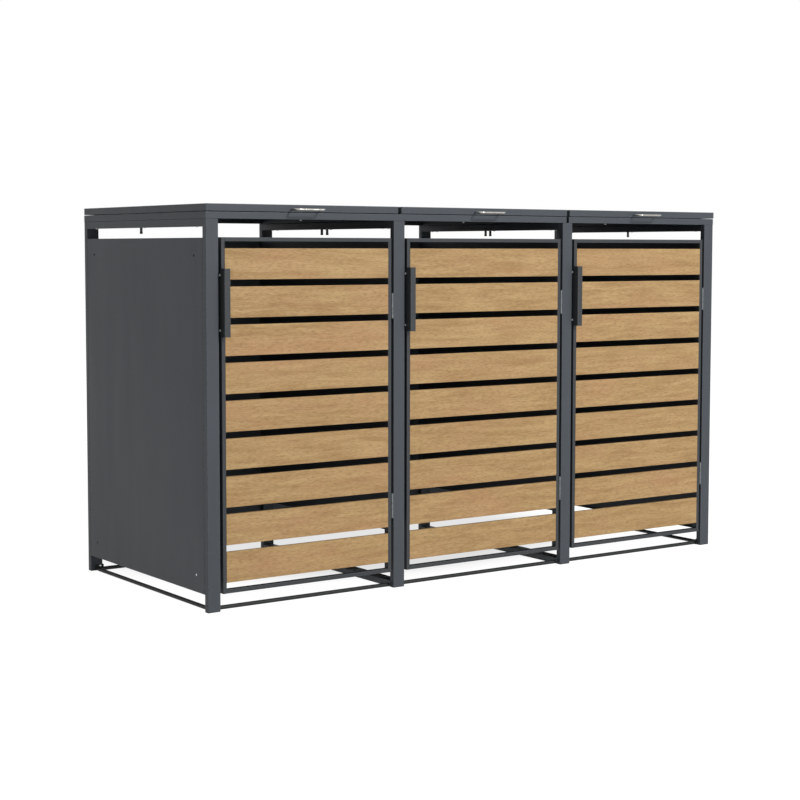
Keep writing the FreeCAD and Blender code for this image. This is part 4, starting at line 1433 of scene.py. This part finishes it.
@dataclass
class Door:
    """One door: a tube frame, nine printed boards and a folded handle."""

    bay: str
    tube_face: float = 11.6
    wall: float = 1.5
    edge_radius: float = 1.5
    boards: int = 9
    board_height: float = 88.0
    board_edge: float = 1.2
    film_length: float = 40.0
    handle_metal: float = 2.0
    handle_fold: float = 3.0
    handle_crease: float = 1.0
    handle_edge: float = 0.7
    screw_inset: float = 18.6
    screw_back: float = 6.0

    @property
    def label(self) -> str:
        """The door's name, which is also the name of its CAD body."""
        return f"door_{self.bay}"

    def frame_tubes(self) -> None:
        """Two full-height stiles and two bars between them."""
        node, face = f"{self.label}_frame", self.tube_face
        box = Box.of_node(node)
        depth, height = box.span(Axis.Y), box.span(Axis.Z)
        inner = (box.low.x + face, box.high.x - face)
        form = Form()
        for span in ((box.low.x, inner[0]), (inner[1], box.high.x)):
            form.tube(Box.spanning(span, depth, height), Axis.Z, self.wall, self.edge_radius,
                      (True, True))
        for level in (box.low.z, box.high.z - face):
            form.tube(Box.spanning(inner, depth, (level, level + face)), Axis.X, self.wall,
                      self.edge_radius)
        form.piece(f"{self.label}_welded_frame", DOOR_COAT, node, body=self.label)

    def board_set(self) -> None:
        """Nine boards, each with its own stretch of the printed film."""
        node = f"{self.label}_slats"
        box = Box.of_node(node)
        gap = (box.size.z - self.boards * self.board_height) / (self.boards - 1)
        outline = rounded_outline(rectangle(box.size.y, self.board_height), self.board_edge, 3)
        chance = random.Random(self.label)
        for number in range(self.boards):
            level = box.low.z + number * (self.board_height + gap)
            form = Form().prism(moved(outline, box.low.y, level), Axis.X, box.span(Axis.X),
                                ease=0.3)
            board = form.piece(f"{self.label}_board_{number + 1}", OakPrint(), node,
                               body=self.label)
            start = Vector(chance.uniform(-self.film_length, self.film_length) for _ in range(3))
            film = board.data.attributes.new("film_start", "FLOAT_VECTOR", "FACE")
            for item in film.data:
                item.vector = start

    def handle(self) -> None:
        """An L of folded steel beside the left stile, with two screws through it."""
        node = f"{self.label}_handle"
        box = Box.of_node(node)
        width, reach, _length = box.size
        metal, edge = self.handle_metal, self.handle_edge
        outline = rounded_outline(
            [(0, 0), (width, 0), (width, metal), (metal, metal), (metal, reach), (0, reach)],
            [self.handle_fold, edge, edge, self.handle_crease, edge, edge])
        form = Form().prism(moved(outline, box.low.x, box.low.y), Axis.Z, box.span(Axis.Z),
                            ease=0.35)
        form.piece(f"{self.label}_pull_handle", DOOR_COAT, node, body=self.label)
        screws = Form()
        y = Box.of_node(f"{self.label}_frame").low.y + self.screw_back
        for level in (box.low.z + self.screw_inset, box.high.z - self.screw_inset):
            Screw().drive(screws, Vector((box.low.x, y, level)), Vector((-1, 0, 0)))
        screws.piece(f"{self.label}_pull_handle_screws", ZincPlatedSteel(),
                     f"{self.label}_handle_screws", body=self.label, smooth_below=CRISP)

    def build(self) -> None:
        """Build the whole door."""
        self.frame_tubes()
        self.board_set()
        self.handle()


@dataclass
class Lid:
    """One lid: a folded sheet pan, two stiffening tubes and a bent rod handle."""

    bay: str
    metal: float = 1.2
    fold_radius: float = 1.5
    fold_steps: int = 4
    flange: float = 20.0
    rib_width: float = 25.0
    rib_wall: float = 1.5
    rib_radius: float = 1.5
    rod_radius: float = 3.0
    rod_steps: int = 24
    bend: float = 10.0
    bend_steps: int = 8

    @property
    def label(self) -> str:
        """The lid's name, which is also the name of its CAD body."""
        return f"lid_{self.bay}"

    def pan(self) -> None:
        """The sheet: a flat top, four rims with rounded folds and a flange turned inward."""
        node = f"{self.label}_pan"
        box = Box.of_node(node)
        radius, low, high = self.fold_radius, box.low.z, box.high.z
        fold = quarter_bend(radius, self.fold_steps)
        levels = ([(radius + self.flange, low)] + [(drop, low + inset) for inset, drop in fold]
                  + [(inset, high - drop) for inset, drop in fold])
        form = Form()
        rows = [form.section(box.outline(Axis.Z, inset, max(radius - inset, 0.25)), Axis.Z, level)
                for inset, level in levels]
        folded = [1.0] * self.fold_steps
        rim = arc_marks(box.outline(Axis.Z, 0, radius))
        for lower, upper, marks in zip(rows, rows[1:], [0.0, *folded, rim, *folded]):
            form.band(lower, upper, marks)
        form.face(rows[-1])
        thicken(form.piece(f"{self.label}_folded_cover", FRAME_COAT, node, body=self.label),
                self.metal)

    def ribs(self) -> None:
        """Two tubes under the sheet, from the front rim to the rear one."""
        node, width = f"{self.label}_ribs", self.rib_width
        box = Box.of_node(node)
        form = Form()
        for x in (box.low.x, box.high.x - width):
            form.tube(Box.spanning((x, x + width), box.span(Axis.Y), box.span(Axis.Z)), Axis.Y,
                      self.rib_wall, self.rib_radius)
        form.piece(f"{self.label}_stiffeners", FRAME_COAT, node, body=self.label)

    def handle(self) -> None:
        """A rod bent into a bow that stands out from the front rim."""
        node = f"{self.label}_handle"
        box = Box.of_node(node)
        radius, level = self.rod_radius, box.middle.z
        left, right, front = box.low.x + radius, box.high.x - radius, box.low.y + radius
        path = [Vector((left, box.high.y, level))]
        path += [Vector((left + inset, front + drop, level))
                 for inset, drop in quarter_bend(self.bend, self.bend_steps)]
        path += [Vector((left + right - point.x, point.y, level)) for point in reversed(path)]
        Form().swept(path, radius, self.rod_steps).piece(
            f"{self.label}_bow_handle", SatinNickel(), node, body=self.label)

    def build(self) -> None:
        """Build the whole lid."""
        self.pan()
        self.ribs()
        self.handle()


@dataclass
class LidBuffers:
    """Rubber discs on the front top rail that the lids come down on."""

    radius: float = 6.0
    inset: float = 60.0
    steps: int = 28

    def build(self) -> None:
        """Build two discs under the front edge of each lid."""
        box = Box.of_node("lid_buffers")
        height, radius = box.size.z, self.radius
        form = Form()
        for bay in BAYS:
            pan = Box.of_node(f"lid_{bay}_pan")
            for x in (pan.low.x + self.inset, pan.high.x - self.inset):
                form.at(spot(x, box.middle.y, box.low.z)).turned(
                    [(0, 0), (radius, 0), (radius, height * 0.6), (radius - 0.4, height * 0.92),
                     (radius - 1.2, height), (0, height)], self.steps)
        form.piece("lid_rubber_buffers", MouldedRubber(), "lid_buffers")


@dataclass(frozen=True)
class Lamp:
    """A square soft lamp that faces a point, in metres and watts."""

    name: str
    place: Triple
    aim: Triple
    size: float
    watts: float

    def hang(self) -> None:
        """Put the lamp in the scene."""
        light = bpy.data.lights.new(self.name, "AREA")
        light.shape, light.size, light.energy = "SQUARE", self.size, self.watts
        made = show(self.name, light)
        made.location = self.place
        way = Vector(self.aim) - Vector(self.place)
        made.rotation_euler = way.to_track_quat("-Z", "Y").to_euler()


@dataclass
class Studio:
    """A plain pale floor, soft lamps and a white surround, with the camera of the picture.

    Its lengths are in metres and its angles in degrees.
    """

    floor_size: float = 60.0
    paper: str = "#EDEDED"  # what the floor's light on the store comes from
    shade: str = "#787878"  # how strongly the floor shows the store's shadow
    painted_shadow_middle: Point = (0.0, 0.42)  # the middle of the painted shadow: the floor's glow dimmed in and behind the bays
    painted_shadow_reach: Point = (0.8, 0.56)
    painted_shadow_fade: Point = (0.85, 1.3)  # shares of that reach between which the painted shadow ends
    painted_shadow_light: float = 0.73
    near_light: float = 0.985
    far_fade: Point = (2.4, 4.5)
    fill: str = "#FBF7EF"
    fill_strength: float = 0.13
    lamps: tuple[Lamp, ...] = (  # in front, high in front, behind, low on the left and above
        Lamp("front_softbox", (1.0, -10.6, 2.6), (0.0, 0.0, 0.5), 5.0, 330.0),
        Lamp("high_key", (3.4, -9.0, 6.75), (0.0, -0.3, 1.0), 1.3, 920.0),
        Lamp("rear_fill", (1.2, 8.0, 3.6), (0.0, 0.0, 0.5), 4.0, 110.0),
        Lamp("low_left_fill", (-5.2, -7.0, 0.7), (-0.3, -0.2, 0.2), 2.6, 36.0),
        Lamp("top_softbox", (0.0, 0.5, 5.0), (0.0, 0.0, 0.5), 4.0, 40.0))
    camera_place: Triple = (-3.2594, -4.5380, 1.0247)
    camera_yaw: float = 35.1836
    camera_pitch: float = 4.1819
    camera_roll: float = 0.0603
    lens_mm: float = 76.18
    sensor_mm: float = 36.0
    lens_drop: float = 0.0339  # the picture was cut off-centre, so its verticals lean less

    def floor(self) -> None:
        """A pale floor that keeps the store's shadow, has a painted shadow under and behind the
        bays, and fades to white round it.
        """
        form = bmesh.new()
        half = self.floor_size / 2
        form.faces.new([form.verts.new((x, y, 0.0)) for x, y in
                        ((-half, -half), (half, -half), (half, half), (-half, half))])
        data = bpy.data.meshes.new("studio_floor")
        form.to_mesh(data)
        form.free()
        data.materials.append(self.floor_material())
        show("studio_floor", data)

    def floor_material(self) -> bpy.types.Material:
        """Matt paper, which glows to white where it is looked at or mirrored. Under and behind the
        bays the glow is dimmed in a soft patch, a painted shadow.

        Returns:
            The floor's material.
        """
        material = bpy.data.materials.new("matt_studio_paper")
        material.use_nodes = True
        tree = material.node_tree
        tree.nodes.clear()
        coordinates = add_node(tree, "TexCoord").outputs["Object"]
        # The painted shadow's patch: floor coordinates moved and scaled so that its edge lies near
        # a length of one.
        patch = add_node(tree, "Mapping", {"Vector": coordinates}, {
            "Location": (*self.painted_shadow_middle, 0), "Scale": (*self.painted_shadow_reach, 1)},
            vector_type="TEXTURE")
        glow = []
        # The first glow rises from the painted shadow's dim level to the near one across its edge;
        # the second adds the rest up to white far away.
        for where, fade, light in (
                (patch.outputs[0], self.painted_shadow_fade, (self.painted_shadow_light, self.near_light)),
                (coordinates, self.far_fade, (0.0, 1.0 - self.near_light))):
            away = add_node(tree, "VectorMath", {0: where}, operation="LENGTH").outputs["Value"]
            glow.append(add_node(tree, "MapRange", {"Value": away}, ranges(fade, light),
                                 interpolation_type="SMOOTHSTEP").outputs[0])
        level = add_node(tree, "Math", {0: glow[0], 1: glow[1]}, operation="ADD").outputs[0]
        white = add_node(tree, "Emission", {"Strength": level}, {"Color": WHITE})
        shade = add_node(tree, "BsdfDiffuse", inputs={"Color": linear(self.shade)})
        bright = add_node(tree, "AddShader", {0: white.outputs[0], 1: shade.outputs[0]})
        paper = add_node(tree, "BsdfDiffuse", inputs={"Color": linear(self.paper)})
        mixed = add_node(tree, "MixShader", {0: self.looked_at(tree), 1: paper.outputs[0],
                                             2: bright.outputs[0]})
        add_node(tree, "OutputMaterial", {"Surface": mixed.outputs[0]})
        return material

    @staticmethod
    def looked_at(tree: Tree) -> Socket:
        """Tell what the camera sees, itself, mirrored or through glass, from other light.

        Args:
            tree: the node tree of the floor or the surround.

        Returns:
            1 for a ray that is seen, and 0 for one that lights something.
        """
        rays = add_node(tree, "LightPath").outputs
        seen = add_node(tree, "Math", {0: rays["Is Camera Ray"], 1: rays["Is Glossy Ray"]},
                        operation="MAXIMUM").outputs[0]
        return add_node(tree, "Math", {0: seen, 1: rays["Is Transmission Ray"]},
                        operation="MAXIMUM").outputs[0]

    def surround(self) -> None:
        """White where it is looked at or mirrored, and a plain fill for everything else."""
        world = bpy.data.worlds.new("studio_white")
        bpy.context.scene.world = world
        world.use_nodes = True
        tree = world.node_tree
        tree.nodes.clear()
        fill = add_node(tree, "Background",
                        inputs={"Color": linear(self.fill), "Strength": self.fill_strength})
        white = add_node(tree, "Background", inputs={"Color": WHITE, "Strength": 1.0})
        mixed = add_node(tree, "MixShader", {0: self.looked_at(tree), 1: fill.outputs[0],
                                             2: white.outputs[0]})
        add_node(tree, "OutputWorld", {"Surface": mixed.outputs[0]})

    def camera(self) -> None:
        """The picture's camera, from the front left."""
        data = bpy.data.cameras.new("picture_camera")
        data.sensor_width, data.lens, data.shift_y = self.sensor_mm, self.lens_mm, -self.lens_drop
        made = show("picture_camera", data)
        made.location = self.camera_place
        turn = (Matrix.Rotation(math.radians(-self.camera_yaw), 4, "Z")
                @ Matrix.Rotation(math.radians(90 - self.camera_pitch), 4, "X")
                @ Matrix.Rotation(math.radians(self.camera_roll), 4, "Z"))
        made.rotation_euler = turn.to_euler("XYZ")
        bpy.context.scene.camera = made

    def build(self) -> None:
        """Set the whole studio up."""
        bpy.context.scene.view_settings.view_transform = "Standard"
        self.camera()
        self.floor()
        self.surround()
        for lamp in self.lamps:
            lamp.hang()


def main() -> None:
    """Build every sub-assembly round the CAD frame, and the studio round them."""
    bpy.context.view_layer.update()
    Studio().build()
    FrameTubes().build()
    SheetPanels().build()
    Fasteners().build()
    for bay in BAYS:
        Door(bay).build()
        Lid(bay).build()
    HingeSet().build()
    LidBuffers().build()


if __name__ == "__main__":
    main()
